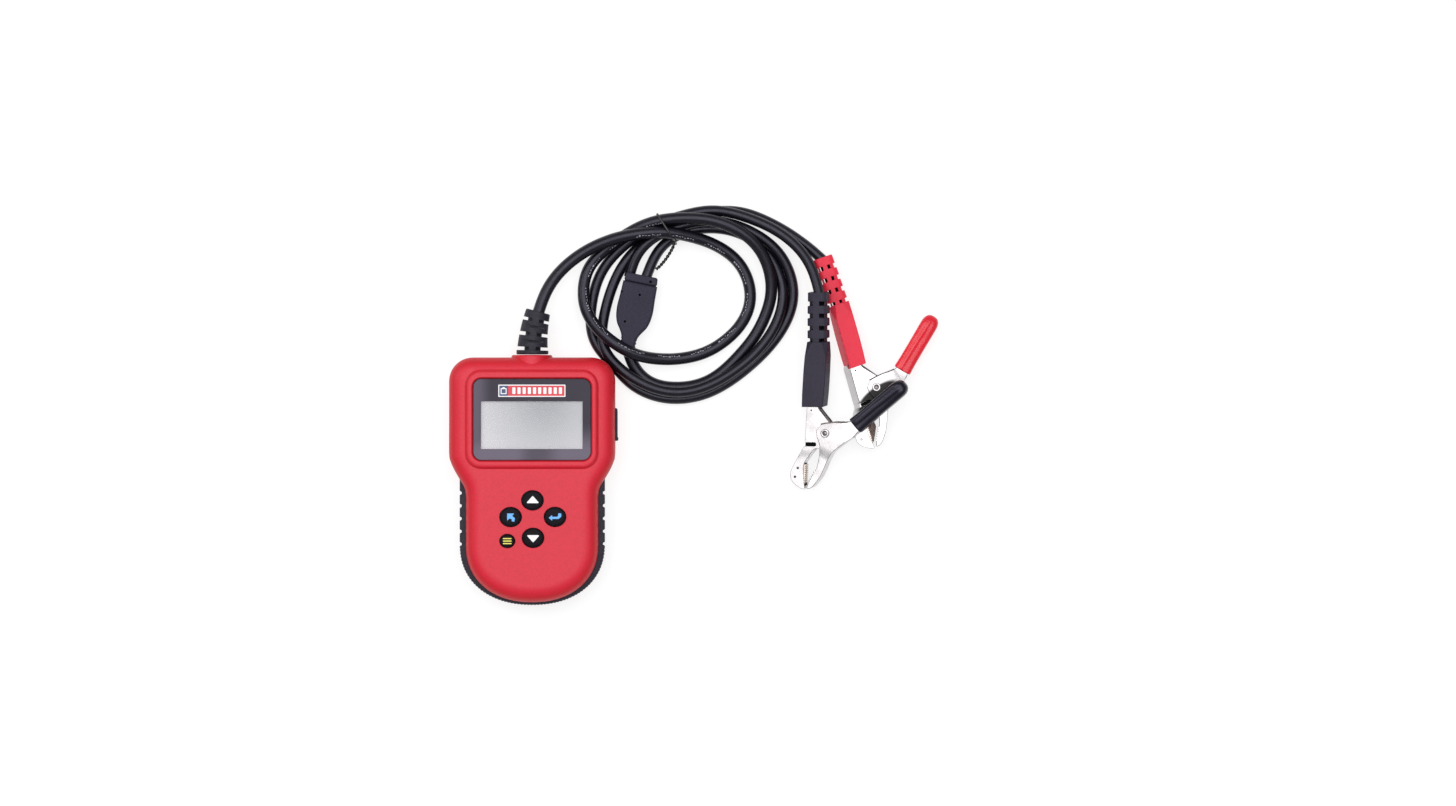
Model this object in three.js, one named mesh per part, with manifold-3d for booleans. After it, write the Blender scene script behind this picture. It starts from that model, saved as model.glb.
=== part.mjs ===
// Handheld battery tester: a moulded handset with a screen and five keys, one
// main cable that splits into two leads, and a black and a red spring clamp.
// Millimetres, +Z up. The handset lies on its back: z = 0 is its rear face,
// x = 0 is its centre line, and +Y points to the cable end.
import * as THREE from 'three';
import { mergeVertices } from 'three/addons/utils/BufferGeometryUtils.js';
import Module from 'manifold-3d';

// ---------------------------------------------------------------- dimensions
const GAP = 0.3;              // clearance between pieces that touch
const BODY_HALF_W = 42.1;     // handset half width round the screen
const GRIP_HALF_W = 33.6;     // handset half width round the keys
const BODY_TOP_Y = 62.2;      // cable end of the handset
const BODY_CORNER_R = 12;     // top corner radius
const TAIL_Y = -33;           // where the rounded tail starts
const TAIL_LEN = 29;          // length of the rounded tail
const BODY_T = 25;            // handset thickness
const SPLIT_Z = 12.35;        // parting plane of the two covers
const WALL = 2.2;             // cover wall
const RING_TOP_Z = 26.4;      // top of the raised ring round the screen
const BUMPER_HALF_W = 36.8;   // outside of the rubber bumper
const BUMPER_TAIL = 30.5;
const LENS = { x0: -29.6, x1: 29.9, y0: 10.2, y1: 51.3, r: 4.2, z0: 23.5, z1: 25.5 };
const LCD = { x0: -25.7, x1: 25.8, y0: 15.8, y1: 40.0 };
const KEYS = {
  key_up: { x: 0.4, y: -10.2, r: 5.42 },
  key_down: { x: 0.65, y: -29.2, r: 5.42 },
  key_back: { x: -10.7, y: -18.65, r: 5.42 },
  key_enter: { x: 11.8, y: -18.6, r: 5.42 },
  key_fn: { x: -12.35, y: -30.8, r: 3.75 },
};
const KEY_OVAL = 0.9;         // a key's depth over its width
const KEY_GAP = 0.35;         // ring gap round each key
const KEY_TOP_Z = 26.2;
const KEY_TRAVEL = 0.8;
const SCREWS = [[-34.3, 52.6], [34.3, 52.6], [-25, -38], [25, -38]];
const PCB_Z0 = 10.2, PCB_Z1 = 11.8;
const PORT_Y = 28.2;          // middle of the side port
const PORT_COVER = { y0: 19.8, hinge: 35.4, x0: 41.0, x1: 43.4, z0: 9.6, z1: 17.4 };
const CABLE_Z = 12.4;         // cable outlet height
const COLLAR_X = -0.2, COLLAR_R = 10.4;
const RELIEF_Y = 63.8, RELIEF_LEN = 21.8, RELIEF_LEAN = 2.95;
const MAIN_D = 6.1;           // main cable diameter
const LEAD_D = 5.4;           // lead diameter
const SPLIT_A = [48.06, 67.06], SPLIT_B = [55.68, 104.14]; // splitter neck and cap ends
const SPLIT_T = 11;           // splitter thickness
const CLAMP_W = 10.4;         // clamp width over its moving arm
const SHEET = 0.8;            // clamp sheet thickness
const SLEEVE_END = { red: 33.2, black: 35.0 }; // far end of each handle sleeve, along the handle
const RED_PIVOT = new THREE.Vector3(174.9, 47.1, 6.05);
const RED_TURN = 19.5 * Math.PI / 180;
const BLACK_PIVOT = new THREE.Vector3(149.8, 24.1, 11.65);
const BLACK_SLOPE = [0.2497, 0.08]; // rise of the black clamp's plane along X and Y

// Cable centre lines where they lie free, from the outlet to the coil and from
// the coil to the two boots.
const MAIN_PATH = [
  [3.48, 86.23, 12.36],
  [5.31, 91.52, 11.85],
  [7.77, 96.96, 11.30],
  [10.96, 102.01, 10.85],
  [14.82, 106.56, 10.59],
  [19.21, 110.63, 10.55],
  [23.98, 114.19, 10.76],
  [29.02, 117.23, 11.22],
  [31.61, 118.55, 11.53],
];
const BLACK_PATH = [
  [116.98, 130.31, 8.11],
  [122.34, 127.63, 8.50],
  [127.39, 124.47, 9.10],
  [131.99, 120.82, 9.92],
  [136.04, 116.67, 10.95],
  [139.43, 112.00, 12.17],
  [142.09, 106.82, 13.56],
  [144.06, 101.26, 15.00],
  [145.54, 95.50, 16.40],
];
const RED_PATH = [
  [117.64, 132.33, 2.79],
  [123.05, 129.70, 2.96],
  [128.28, 126.75, 3.29],
  [133.29, 123.50, 3.81],
  [138.09, 120.01, 4.49],
  [142.72, 116.28, 5.26],
  [147.17, 112.27, 6.05],
];

// Outline of the coiled bundle round its middle, by height: outer and inner
// radius every 360/32 degrees.
const COIL_C = [73.0, 94.5];
const COIL_LOW = { z0: 0.1, z1: 8.4, out: [62.5, 61.8, 59.5, 55.8, 58.6, 55.3, 50.1, 45.9, 42.5, 41.3, 41.8, 42.2, 45.3, 49.4, 48.6, 49.9, 50.2, 49.5, 50.0, 50.8, 51.1, 53.0, 54.8, 55.8, 56.2, 55.9, 55.2, 54.8, 55.4, 57.0, 59.4, 61.7],
  in: [34.5, 33.9, 32.3, 30.8, 29.1, 28.0, 27.3, 27.1, 25.8, 22.4, 19.6, 17.3, 15.7, 14.9, 19.5, 28.9, 30.5, 33.0, 36.1, 37.2, 33.9, 33.3, 31.7, 30.4, 29.9, 29.6, 29.7, 30.1, 30.9, 31.8, 33.1, 34.3] };
const COIL_MID = { z0: 8.2, z1: 12.6, out: [0.0, 51.9, 51.6, 53.5, 56.9, 52.6, 48.9, 45.1, 42.0, 41.2, 41.6, 42.0, 44.1, 49.4, 48.1, 49.9, 50.2, 49.4, 47.0, 47.2, 49.8, 50.2, 51.1, 52.2, 52.7, 52.5, 51.6, 51.7, 52.3, 53.5, 54.9, 0.0],
  in: [0.0, 45.7, 45.2, 44.1, 42.1, 28.3, 27.4, 27.1, 27.6, 28.9, 27.7, 26.2, 25.2, 25.2, 41.7, 43.6, 44.1, 43.1, 40.6, 37.8, 35.4, 34.0, 32.0, 30.6, 30.6, 47.0, 46.6, 46.1, 46.7, 47.7, 49.6, 0.0] };
const COIL_TOP = { z0: 12.4, z1: 17.3, out: [0.0, 0.0, 0.0, 49.3, 48.4, 46.3, 44.1, 42.5, 41.2, 41.2, 41.6, 39.9, 44.1, 49.4, 0.0, 0.0, 0.0, 0.0, 46.5, 44.1, 42.0, 40.2, 0.0, 0.0, 0.0, 0.0, 0.0, 0.0, 0.0, 0.0, 0.0, 0.0],
  in: [0.0, 0.0, 0.0, 44.6, 42.1, 39.7, 37.7, 27.6, 27.6, 28.9, 30.6, 32.9, 37.2, 41.9, 0.0, 0.0, 0.0, 0.0, 40.6, 37.8, 35.4, 34.0, 0.0, 0.0, 0.0, 0.0, 0.0, 0.0, 0.0, 0.0, 0.0, 0.0] };

// Twisted tie round the six strands at the top of the coil.
const TIE_D = 1.1;
const TIE_LOOP = [[69.45, 125.63, 16.3], [68.17, 127.64, 16.17], [66.9, 129.65, 16.04], [65.62, 131.66, 15.9], [64.4, 133.58, 15.33], [63.57, 134.88, 13.56], [63.47, 135.04, 11.23], [63.8, 134.52, 8.92], [64.14, 133.99, 6.62], [64.64, 133.21, 4.45], [65.39, 132.02, 2.53], [66.14, 130.84, 0.75], [67.2, 129.18, 0.75], [68.47, 127.17, 0.75], [69.74, 125.16, 0.75], [71.02, 123.16, 0.75], [72.22, 121.26, 0.75], [72.93, 120.15, 2.2], [72.84, 120.29, 4.54], [72.47, 120.87, 6.83], [72.11, 121.44, 9.11]];
const TIE_ORIGIN = [62.8, 136.1], TIE_ALONG = [0.5361, -0.8442];
const TIE_CORE = [[11.9, 15.2], [5.6, 14.8], [2.6, 13.0], [3.0, 9.0], [5.6, 3.6], [7.4, 2.0], [17.2, 2.0], [17.4, 4.6], [14.9, 13.4]];
const TIE_TAIL = [[72.11, 121.44, 9.11], [71.4, 118.2, 9.6], [68.3, 113.0, 8.6], [65.2, 109.2, 7.2], [62.9, 107.2, 6.6]];

// ------------------------------------------------------------------- helpers
const wasm = await Module();
wasm.setup();

function toSolid(geometry) {
  let g = geometry.index ? geometry.clone() : geometry.clone();
  g.deleteAttribute('normal');
  g.deleteAttribute('uv');
  g = mergeVertices(g, 1e-4);
  return new wasm.Manifold(new wasm.Mesh({
    numProp: 3,
    vertProperties: new Float32Array(g.attributes.position.array),
    triVerts: new Uint32Array(g.index.array),
  }));
}
function toGeometry(solid) {
  const m = solid.getMesh();
  const g = new THREE.BufferGeometry();
  const n = m.vertProperties.length / m.numProp;
  const p = new Float32Array(n * 3);
  for (let i = 0; i < n; i++) for (let k = 0; k < 3; k++) p[i * 3 + k] = m.vertProperties[i * m.numProp + k];
  g.setAttribute('position', new THREE.BufferAttribute(p, 3));
  g.setIndex(new THREE.BufferAttribute(new Uint32Array(m.triVerts), 1));
  g.computeVertexNormals();
  return g;
}
// The biggest body of a cut, without the crumbs that a cut can leave.
function biggest(solid) {
  const bits = solid.decompose();
  let best = bits[0];
  for (const b of bits) if (b.volume() > best.volume()) best = b;
  return best;
}
const union = (...s) => s.reduce((a, b) => a.add(b));
const cut = (a, ...s) => s.reduce((x, y) => x.subtract(y), a);

// Closed skin through rings of equal point count; rings may fold back inside.
function loft(rings, tag = '') {
  const n = rings[0].length;
  const pos = [];
  for (const r of rings) for (const p of r) pos.push(p[0], p[1], p[2]);
  const idx = [];
  for (let k = 0; k + 1 < rings.length; k++) {
    for (let i = 0; i < n; i++) {
      const j = (i + 1) % n;
      const a = k * n + i, b = k * n + j, c = (k + 1) * n + j, d = (k + 1) * n + i;
      idx.push(a, b, c, a, c, d);
    }
  }
  const cap = (ring, base, flip) => {
    const c = new THREE.Vector3();
    ring.forEach((p) => c.add(new THREE.Vector3(...p)));
    c.divideScalar(n);
    const e1 = new THREE.Vector3(...ring[0]).sub(c).normalize();
    const nn = new THREE.Vector3();
    for (let i = 0; i < n; i++) {
      const p = new THREE.Vector3(...ring[i]).sub(c), q = new THREE.Vector3(...ring[(i + 1) % n]).sub(c);
      nn.add(p.cross(q));
    }
    nn.normalize();
    const e2 = new THREE.Vector3().crossVectors(nn, e1);
    const flat = ring.map((p) => { const v = new THREE.Vector3(...p).sub(c); return new THREE.Vector2(v.dot(e1), v.dot(e2)); });
    for (const t of THREE.ShapeUtils.triangulateShape(flat, [])) {
      if (flip) idx.push(base + t[0], base + t[2], base + t[1]); else idx.push(base + t[0], base + t[1], base + t[2]);
    }
  };
  cap(rings[0], 0, true);
  cap(rings[rings.length - 1], (rings.length - 1) * n, false);
  let vol = 0;
  for (let i = 0; i < idx.length; i += 3) {
    const [a, b, c] = [idx[i], idx[i + 1], idx[i + 2]].map((q) => new THREE.Vector3(pos[q * 3], pos[q * 3 + 1], pos[q * 3 + 2]));
    vol += a.dot(b.cross(c));
  }
  if (vol < 0) for (let i = 0; i < idx.length; i += 3) { const t = idx[i + 1]; idx[i + 1] = idx[i + 2]; idx[i + 2] = t; }
  const g = new THREE.BufferGeometry();
  g.setAttribute('position', new THREE.Float32BufferAttribute(pos, 3));
  g.setIndex(idx);
  return toSolid(g);
}
// Inset a closed counter-clockwise outline by d.
function inset(pts, d) {
  const n = pts.length;
  return pts.map((p, i) => {
    const a = pts[(i + n - 1) % n], b = pts[(i + 1) % n];
    const u = new THREE.Vector2(p[0] - a[0], p[1] - a[1]).normalize();
    const v = new THREE.Vector2(b[0] - p[0], b[1] - p[1]).normalize();
    const nx = -(u.y + v.y), ny = u.x + v.x;
    const l = Math.hypot(nx, ny), k = Math.max(0.5, (u.x * v.x + u.y * v.y + 1) / 2) ** 0.5;
    return [p[0] + (nx / l) * d / k, p[1] + (ny / l) * d / k];
  });
}
const level = (pts, d, z) => inset(pts, d).map((p) => [p[0], p[1], z]);
function shapeOf(pts) {
  return new THREE.Shape(pts.map((p) => new THREE.Vector2(p[0], p[1])));
}
function prism(pts, z0, z1, holes = []) {
  const s = shapeOf(pts);
  for (const h of holes) s.holes.push(new THREE.Path(h.map((p) => new THREE.Vector2(p[0], p[1]))));
  const g = new THREE.ExtrudeGeometry(s, { depth: z1 - z0, bevelEnabled: false, curveSegments: 1 });
  g.translate(0, 0, z0);
  return toSolid(g);
}
const box = (x0, x1, y0, y1, z0, z1) => {
  const g = new THREE.BoxGeometry(x1 - x0, y1 - y0, z1 - z0);
  g.translate((x0 + x1) / 2, (y0 + y1) / 2, (z0 + z1) / 2);
  return toSolid(g);
};
function circle(x, y, r, n) {
  return Array.from({ length: n }, (_, i) => [x + r * Math.cos(2 * Math.PI * i / n), y + r * Math.sin(2 * Math.PI * i / n)]);
}
function roundRect(x0, x1, y0, y1, r, seg = 4) {
  const out = [];
  for (const [cx, cy, a0] of [[x1 - r, y1 - r, 0], [x0 + r, y1 - r, 90], [x0 + r, y0 + r, 180], [x1 - r, y0 + r, 270]]) {
    for (let i = 0; i <= seg; i++) {
      const a = (a0 + 90 * i / seg) * Math.PI / 180;
      out.push([cx + r * Math.cos(a), cy + r * Math.sin(a)]);
    }
  }
  return out;
}
const drum = (x, y, r, z0, z1, n = 20) => prism(circle(x, y, r, n), z0, z1);
// Turned piece: profile of [radius, z] about the Z line through x, y.
function turned(profile, x, y, n = 20) {
  const g = new THREE.LatheGeometry(profile.map((p) => new THREE.Vector2(p[0], p[1])), n);
  g.rotateX(Math.PI / 2);
  g.translate(x, y, 0);
  const s = toSolid(g);
  return s.volume() < 0 ? s : s;
}
function tube(points, d, sides, steps, closed = false) {
  const curve = new THREE.CatmullRomCurve3(points.map((p) => new THREE.Vector3(...p)), closed);
  const r = d / 2 / Math.cos(Math.PI / sides) ** 0.5;
  const sec = new THREE.Shape(circle(0, 0, r, sides).map((p) => new THREE.Vector2(p[0], p[1])));
  return toSolid(new THREE.ExtrudeGeometry(sec, { steps, extrudePath: curve, bevelEnabled: false, curveSegments: 1 }));
}
const group = new THREE.Group();
group.name = 'battery_tester';
// Squeezes a round body into an oval about its own middle.
const oval = (s, x, y) => s.translate([-x, -y, 0]).scale([1, KEY_OVAL, 1]).translate([x, y, 0]);
function put(name, solid, color, roughness, metalness = 0, parent = group) {
  const mesh = new THREE.Mesh(toGeometry(solid), new THREE.MeshStandardMaterial({ color, roughness, metalness }));
  mesh.name = name;
  parent.add(mesh);
  return mesh;
}
const RED = 0xd93a4b, BLACK = 0x2b2930, RUBBER = 0x3a3741, METAL = 0xe6e4e4, STEEL = 0xb9b9bb, PCB = 0x1d5c36, CHIP = 0x1d1d20;

// ------------------------------------------------------------ handset outline
function tail(halfW, len, n) {
  const out = [];
  for (let i = 0; i <= n; i++) {
    const a = Math.PI + Math.PI * i / n;
    const c = Math.cos(a), s = Math.sin(a);
    out.push([Math.sign(c) * halfW * Math.abs(c) ** (2 / 2.2), TAIL_Y - len * Math.abs(s) ** (2 / 2.2)]);
  }
  return out;
}
const SHOULDER = [[33.6, -20], [33.62, -8.2], [34.2, -4.4], [35.5, -1.6], [37.8, 2.2], [39.9, 6.0], [41.4, 9.6], [BODY_HALF_W, 13.5], [BODY_HALF_W, 30]];
function bodyOutline() {
  const right = [...SHOULDER];
  for (let i = 0; i <= 5; i++) {
    const a = (90 * i / 5) * Math.PI / 180;
    right.push([BODY_HALF_W - BODY_CORNER_R + BODY_CORNER_R * Math.cos(a), BODY_TOP_Y - BODY_CORNER_R + BODY_CORNER_R * Math.sin(a)]);
  }
  const left = right.map((p) => [-p[0], p[1]]).reverse();
  return [...tail(GRIP_HALF_W, TAIL_LEN, 16), ...right, ...left];
}
const OUTLINE = bodyOutline();

// Cable collar: a half-round boss on the top edge, shared by both covers.
function alongY(profile, x, z, n = 24) {
  const g = new THREE.LatheGeometry(profile.map((p) => new THREE.Vector2(p[0], p[1])), n);
  g.translate(x, 0, z);
  return toSolid(g);
}
const collar = () => alongY([[0, 55], [COLLAR_R, 55], [COLLAR_R, 62.6], [COLLAR_R - 0.9, 63.5], [0, 63.5]], COLLAR_X, CABLE_Z);
const collarBore = () => alongY([[0, 50], [8.6, 50], [8.6, 57.5], [6.4, 57.5], [6.4, 66], [0, 66]], COLLAR_X + 0.2, CABLE_Z, 20);

// ----------------------------------------------------------------- front cover
{
  let s = loft([
    level(OUTLINE, 8.6, 25.0), level(OUTLINE, 5.0, 24.5), level(OUTLINE, 2.4, 23.0), level(OUTLINE, 0.7, 20.6), level(OUTLINE, 0, 17.6),
    level(OUTLINE, 0, SPLIT_Z + 0.15), level(OUTLINE, WALL, SPLIT_Z + 0.15),
    level(OUTLINE, WALL, 17.6), level(OUTLINE, WALL + 2.4, 21.2), level(OUTLINE, WALL + 6, 22.6),
  ]);
  const ring = loft([
    roundRect(-34, 34, 5.4, 56.2, 8.4).map((p) => [...p, 24.0]),
    roundRect(-34, 34, 5.4, 56.2, 8.4).map((p) => [...p, 25.6]),
    roundRect(-33.2, 33.2, 6.2, 55.4, 7.6).map((p) => [...p, 26.2]),
    roundRect(-32.2, 32.2, 7.2, 54.4, 6.6).map((p) => [...p, RING_TOP_Z]),
  ]);
  const half = box(-60, 60, -90, 90, SPLIT_Z + 0.15, 40);
  const bore = collarBore();
  s = union(s, ring, collar().intersect(half).subtract(box(-30, 30, 50, 60.2, 0, 20.4)));
  for (const [x, y] of SCREWS) s = s.add(drum(x, y, 3.1, SPLIT_Z + 0.5, 23.2, 14));
  const lens = roundRect(LENS.x0 - GAP, LENS.x1 + GAP, LENS.y0 - GAP, LENS.y1 + GAP, LENS.r, 4);
  s = cut(s, bore,
    prism(lens, LENS.z0 - GAP, 40),
    prism(roundRect(LCD.x0 - 1, LCD.x1 + 1, LCD.y0 - 1, LCD.y1 + 1, 1, 2), 20, 30),
    box(37, 44, PORT_Y - 5.3, PORT_Y + 5.3, 11.8, 16.6),
    box(40.7, 46, PORT_COVER.y0 - GAP, PORT_COVER.hinge + 1.2 + GAP, PORT_COVER.z0 - GAP, PORT_COVER.z1 + GAP));
  for (const k of Object.values(KEYS)) s = s.subtract(oval(drum(k.x, k.y, k.r + KEY_GAP, 20, 30, 16), k.x, k.y));
  for (const [x, y] of SCREWS) s = s.subtract(drum(x, y, 1.65, SPLIT_Z, 20.6, 12));
  put('front_cover', biggest(s), RED, 0.55);
}
// ------------------------------------------------------------------ rear cover
{
  let s = loft([
    level(OUTLINE, 4.6, 0), level(OUTLINE, 1.9, 0.9), level(OUTLINE, 0.5, 2.6), level(OUTLINE, 0, 5.4),
    level(OUTLINE, 0, SPLIT_Z - 0.15), level(OUTLINE, WALL, SPLIT_Z - 0.15),
    level(OUTLINE, WALL, 5.6), level(OUTLINE, WALL + 3.2, 2.3),
  ]);
  const half = box(-60, 60, -90, 90, 0, SPLIT_Z - 0.15);
  s = s.add(collar().intersect(half).subtract(box(-30, 30, 50, 60.2, 4.4, 20)));
  for (const [x, y] of SCREWS) s = s.add(drum(x, y, 3.9, 1.2, SPLIT_Z - 0.15, 14));
  for (const [x, y] of [[-33, 30], [33, 14], [-26, -14], [26, -14], [0, -42]]) s = s.add(drum(x, y, 1.8, 1.2, PCB_Z0 - GAP, 10));
  s = s.subtract(collarBore());
  for (const [x, y] of SCREWS) s = cut(s, drum(x, y, 1.7, -1, 20, 12), drum(x, y, 2.9, -1, 3.6, 16));
  s = cut(s,
    box(37, 44, PORT_Y - 5.3, PORT_Y + 5.3, 11.8, 16.6),
    box(40.7, 46, PORT_COVER.y0 - GAP, PORT_COVER.hinge + 1.2 + GAP, PORT_COVER.z0 - GAP, PORT_COVER.z1 + GAP));
  put('rear_cover', biggest(s), RED, 0.6);
}
// ------------------------------------------- rubber bumper round the lower half
{
  const outer = tail(BUMPER_HALF_W, BUMPER_TAIL, 30);
  const cutBody = prism(inset(OUTLINE, -GAP), 0, 30);
  let s = loft([
    inset([...outer, [BUMPER_HALF_W, 4], [-BUMPER_HALF_W, 4]], 1.2).map((p) => [...p, 2.4]),
    [...outer, [BUMPER_HALF_W, 4], [-BUMPER_HALF_W, 4]].map((p) => [...p, 4.2]),
    [...outer, [BUMPER_HALF_W, 4], [-BUMPER_HALF_W, 4]].map((p) => [...p, 15.4]),
    inset([...outer, [BUMPER_HALF_W, 4], [-BUMPER_HALF_W, 4]], 1.1).map((p) => [...p, 17.2]),
  ]);
  s = s.subtract(cutBody);
  // grip notches down both sides
  for (const side of [-1, 1]) {
    for (let i = 0; i < 8; i++) {
      const y = -8.5 - 4.1 * i;
      s = s.subtract(box(side > 0 ? BUMPER_HALF_W - 0.7 : -BUMPER_HALF_W - 2, side > 0 ? BUMPER_HALF_W + 2 : -BUMPER_HALF_W + 0.7, y - 0.55, y + 0.55, 0, 30));
    }
  }
  put('grip_bumper', biggest(s), RUBBER, 0.8);
}
// --------------------------------------------------------------------- display
put('display_lens', prism(roundRect(LENS.x0, LENS.x1, LENS.y0, LENS.y1, LENS.r - 0.2, 4), LENS.z0, LENS.z1), 0x48464f, 0.25);
put('lcd_panel', prism(roundRect(-28.6, 28.6, 13, 43, 0.6, 1), 20.2, 22.1), 0xc3c8c6, 0.3);
put('lcd_frame', cut(box(-31, 31, 10.4, 45.4, 16.5, 22.2), box(-28.9, 28.9, 12.7, 43.3, 17.3, 23), box(-26, 26, 14, 42, 16, 20)), 0xb4b4b8, 0.4, 0.6);
put('backlight_panel', box(-28.4, 28.4, 13.1, 42.9, 17.7, 19.8), 0xe9ece8, 0.5);
// ------------------------------------------------------------------- main board
put('main_board', prism([[-38, 47.5], [-38, 13], [-30, -2], [-30, -32.5], [-20, -33.6], [-20, -46], [20, -46], [20, -33.6], [30, -32.5], [30, -2], [38, 13], [38, 47.5]], PCB_Z0, PCB_Z1), PCB, 0.5);
put('processor_chip', union(box(-5, 5, 22, 32, 12.1, 13.6), box(-6, 6, 23, 31, 12.1, 12.6)), CHIP, 0.5);
put('load_resistor', union(box(-26, -15, 18, 40, 12.1, 16.0)), 0xe8e4d8, 0.8);
put('power_transistor', union(box(14, 24, 30, 39, 12.1, 16.1), box(14, 24, 39, 44, 12.1, 13.2)), CHIP, 0.5);
put('buzzer', drum(17, 4, 5.5, 12.1, 18.0, 16).subtract(drum(17, 4, 1.0, 17, 20, 6)), CHIP, 0.5);
put('cable_header', cut(box(-9, 9, 38.5, 45.6, 12.1, 16.0), box(-7.6, 7.6, 42.5, 46.5, 13.2, 15.4)), 0xf0efe8, 0.5);
put('usb_socket', cut(union(box(31.5, 39.4, PORT_Y - 3.9, PORT_Y + 3.9, 12.1, 16.0)), box(32.5, 41, PORT_Y - 3.4, PORT_Y + 3.4, 12.6, 13.5), box(32.5, 41, PORT_Y - 3.4, PORT_Y + 3.4, 14.4, 15.5), box(36.5, 41, PORT_Y - 3.4, PORT_Y + 3.4, 12.6, 15.5)), STEEL, 0.3, 0.9);
// ------------------------------------------------------------------------- keys
for (const [name, k] of Object.entries(KEYS)) {
  put(name, oval(turned([[0, 17.9], [1.6, 17.9], [1.6, 20.9], [k.r + 1.2, 20.9], [k.r + 1.2, 22.1], [k.r, 22.1], [k.r, 25.3], [k.r * 0.86, 25.9], [0, KEY_TOP_Z]], k.x, k.y, 16), k.x, k.y), BLACK, 0.35);
  const sw = name.replace('key_', 'switch_');
  put(sw, union(box(k.x - 3, k.x + 3, k.y - 3, k.y + 3, 12.1, 15.4), drum(k.x, k.y, 1.7, 15, 16.6, 8)), CHIP, 0.5);
}
{
  let s = cut(box(-20.6, 20.6, -39.6, -2.6, 12.1, 19.8), box(-19.2, 19.2, -38.1, -4.1, 11, 18.8));
  for (const k of Object.values(KEYS)) s = s.subtract(drum(k.x, k.y, 2.4, 17, 21, 12));
  put('keypad_mat', biggest(s), 0x8a8a90, 0.8);
}
// ------------------------------------------------------------------ case screws
SCREWS.forEach(([x, y], i) => {
  put(`case_screw_${i + 1}`, turned([[0, 1.9], [0.9, 1.9], [0.9, 1.2], [2.5, 1.2], [2.5, 3.2], [1.35, 3.2], [1.35, 19.4], [0, 20.2]], x, y, 10), STEEL, 0.35, 0.9);
});
// ------------------------------------------------------- side port cover (flap)
{
  const c = PORT_COVER, hx = c.x0 + 1.2;
  const knuckle = [];
  for (let i = 0; i <= 8; i++) { const a = Math.PI * i / 8; knuckle.push([hx + 1.2 * Math.cos(a), c.hinge + 1.2 * Math.sin(a)]); }
  const flap = [[c.x0, c.y0], [c.x1 + 0.3, c.y0], [c.x1 + 0.3, c.y0 + 1.6], [c.x1, c.y0 + 2.2], [c.x1, c.hinge], ...knuckle];
  let s = prism(flap, c.z0, c.z1);
  s = s.add(box(39.9, 41.3, PORT_Y - 4.3, PORT_Y + 4.3, 12.3, 16.1));
  put('port_cover', s, RUBBER, 0.75);
}
// ------------------------------------------------------------------ cable outlet
function reliefPoint(t) { return new THREE.Vector3(0.05 + RELIEF_LEAN * t * t, RELIEF_Y + RELIEF_LEN * t, CABLE_Z); }
{
  const rings = [];
  const ringAt = (p, dir, r, n = 12) => {
    const u = new THREE.Vector3(dir.y, -dir.x, 0).normalize();
    const v = new THREE.Vector3(0, 0, 1);
    return Array.from({ length: n }, (_, i) => {
      const a = 2 * Math.PI * i / n;
      const q = p.clone().addScaledVector(u, r * Math.cos(a)).addScaledVector(v, r * Math.sin(a));
      return [q.x, q.y, q.z];
    });
  };
  const Y = new THREE.Vector3(0, 1, 0);
  for (const [y, r] of [[54.4, 7.6], [57.1, 7.6], [57.1, 6.05], [63.9, 6.05], [63.9, 8.1]]) rings.push(ringAt(new THREE.Vector3(0.05, y, CABLE_Z), Y, r));
  const body = [[0.09, 8.1], [0.1, 7.9], [0.2, 7.8], [0.2, 5.6], [0.27, 5.5], [0.27, 7.6], [0.42, 7.3], [0.42, 5.2], [0.49, 5.1], [0.49, 7.1], [0.64, 6.9], [0.64, 4.9], [0.71, 4.8], [0.71, 6.7], [0.97, 6.3], [1, 6.0]];
  for (const [t, r] of body) {
    const d = new THREE.Vector3(2 * RELIEF_LEAN * t, RELIEF_LEN, 0).normalize();
    rings.push(ringAt(reliefPoint(t), d, r));
  }
  put('strain_relief', loft(rings), BLACK, 0.7);
}
put('cable_tail', tube([[0.05, 54.0, 12.4], [0.03, 51.5, 12.7], [0.0, 49.0, 14.2], [0, 46.0, 14.5]], 3.4, 8, 8), BLACK, 0.6);

// ------------------------------------------------------------ cable and its coil
const mainTube = tube(MAIN_PATH, MAIN_D, 8, 10);
const blackTube = tube(BLACK_PATH, LEAD_D, 8, 12);
const redTube = tube(RED_PATH.map((p) => [p[0], p[1], Math.max(p[2], 2.9)]), LEAD_D, 8, 10);
const splitDir = new THREE.Vector2(SPLIT_B[0] - SPLIT_A[0], SPLIT_B[1] - SPLIT_A[1]);
const splitLen = splitDir.length();
splitDir.divideScalar(splitLen);
const splitSide = new THREE.Vector2(-splitDir.y, splitDir.x);
const onSplit = (v, u) => [SPLIT_A[0] + splitDir.x * v + splitSide.x * u, SPLIT_A[1] + splitDir.y * v + splitSide.y * u];
const SPLIT_PROFILE = [[0, 3.7], [5.2, 3.8], [8, 5.2], [11.5, 7.6], [14.5, 8.6], [21, 9.2], [27, 8.9], [33.2, 8.6]];
const profileOf = (list, grow = 0) => [
  ...list.map(([v, h]) => onSplit(v, -(h + grow))),
  ...[...list].reverse().map(([v, h]) => onSplit(v, h + grow)),
];
const CAP_PROFILE = [[33.6, 8.5], [splitLen, 8.1]];
function pillow(pts, z0, z1, round) {
  return loft([
    level(pts, round, z0), level(pts, round * 0.3, z0 + round * 0.45), level(pts, 0, z0 + round * 1.2),
    level(pts, 0, z1 - round * 1.2), level(pts, round * 0.3, z1 - round * 0.45), level(pts, round, z1),
  ]);
}
put('splitter_body', pillow(profileOf(SPLIT_PROFILE), 0.15, SPLIT_T, 1.5), RUBBER, 0.8);
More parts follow.
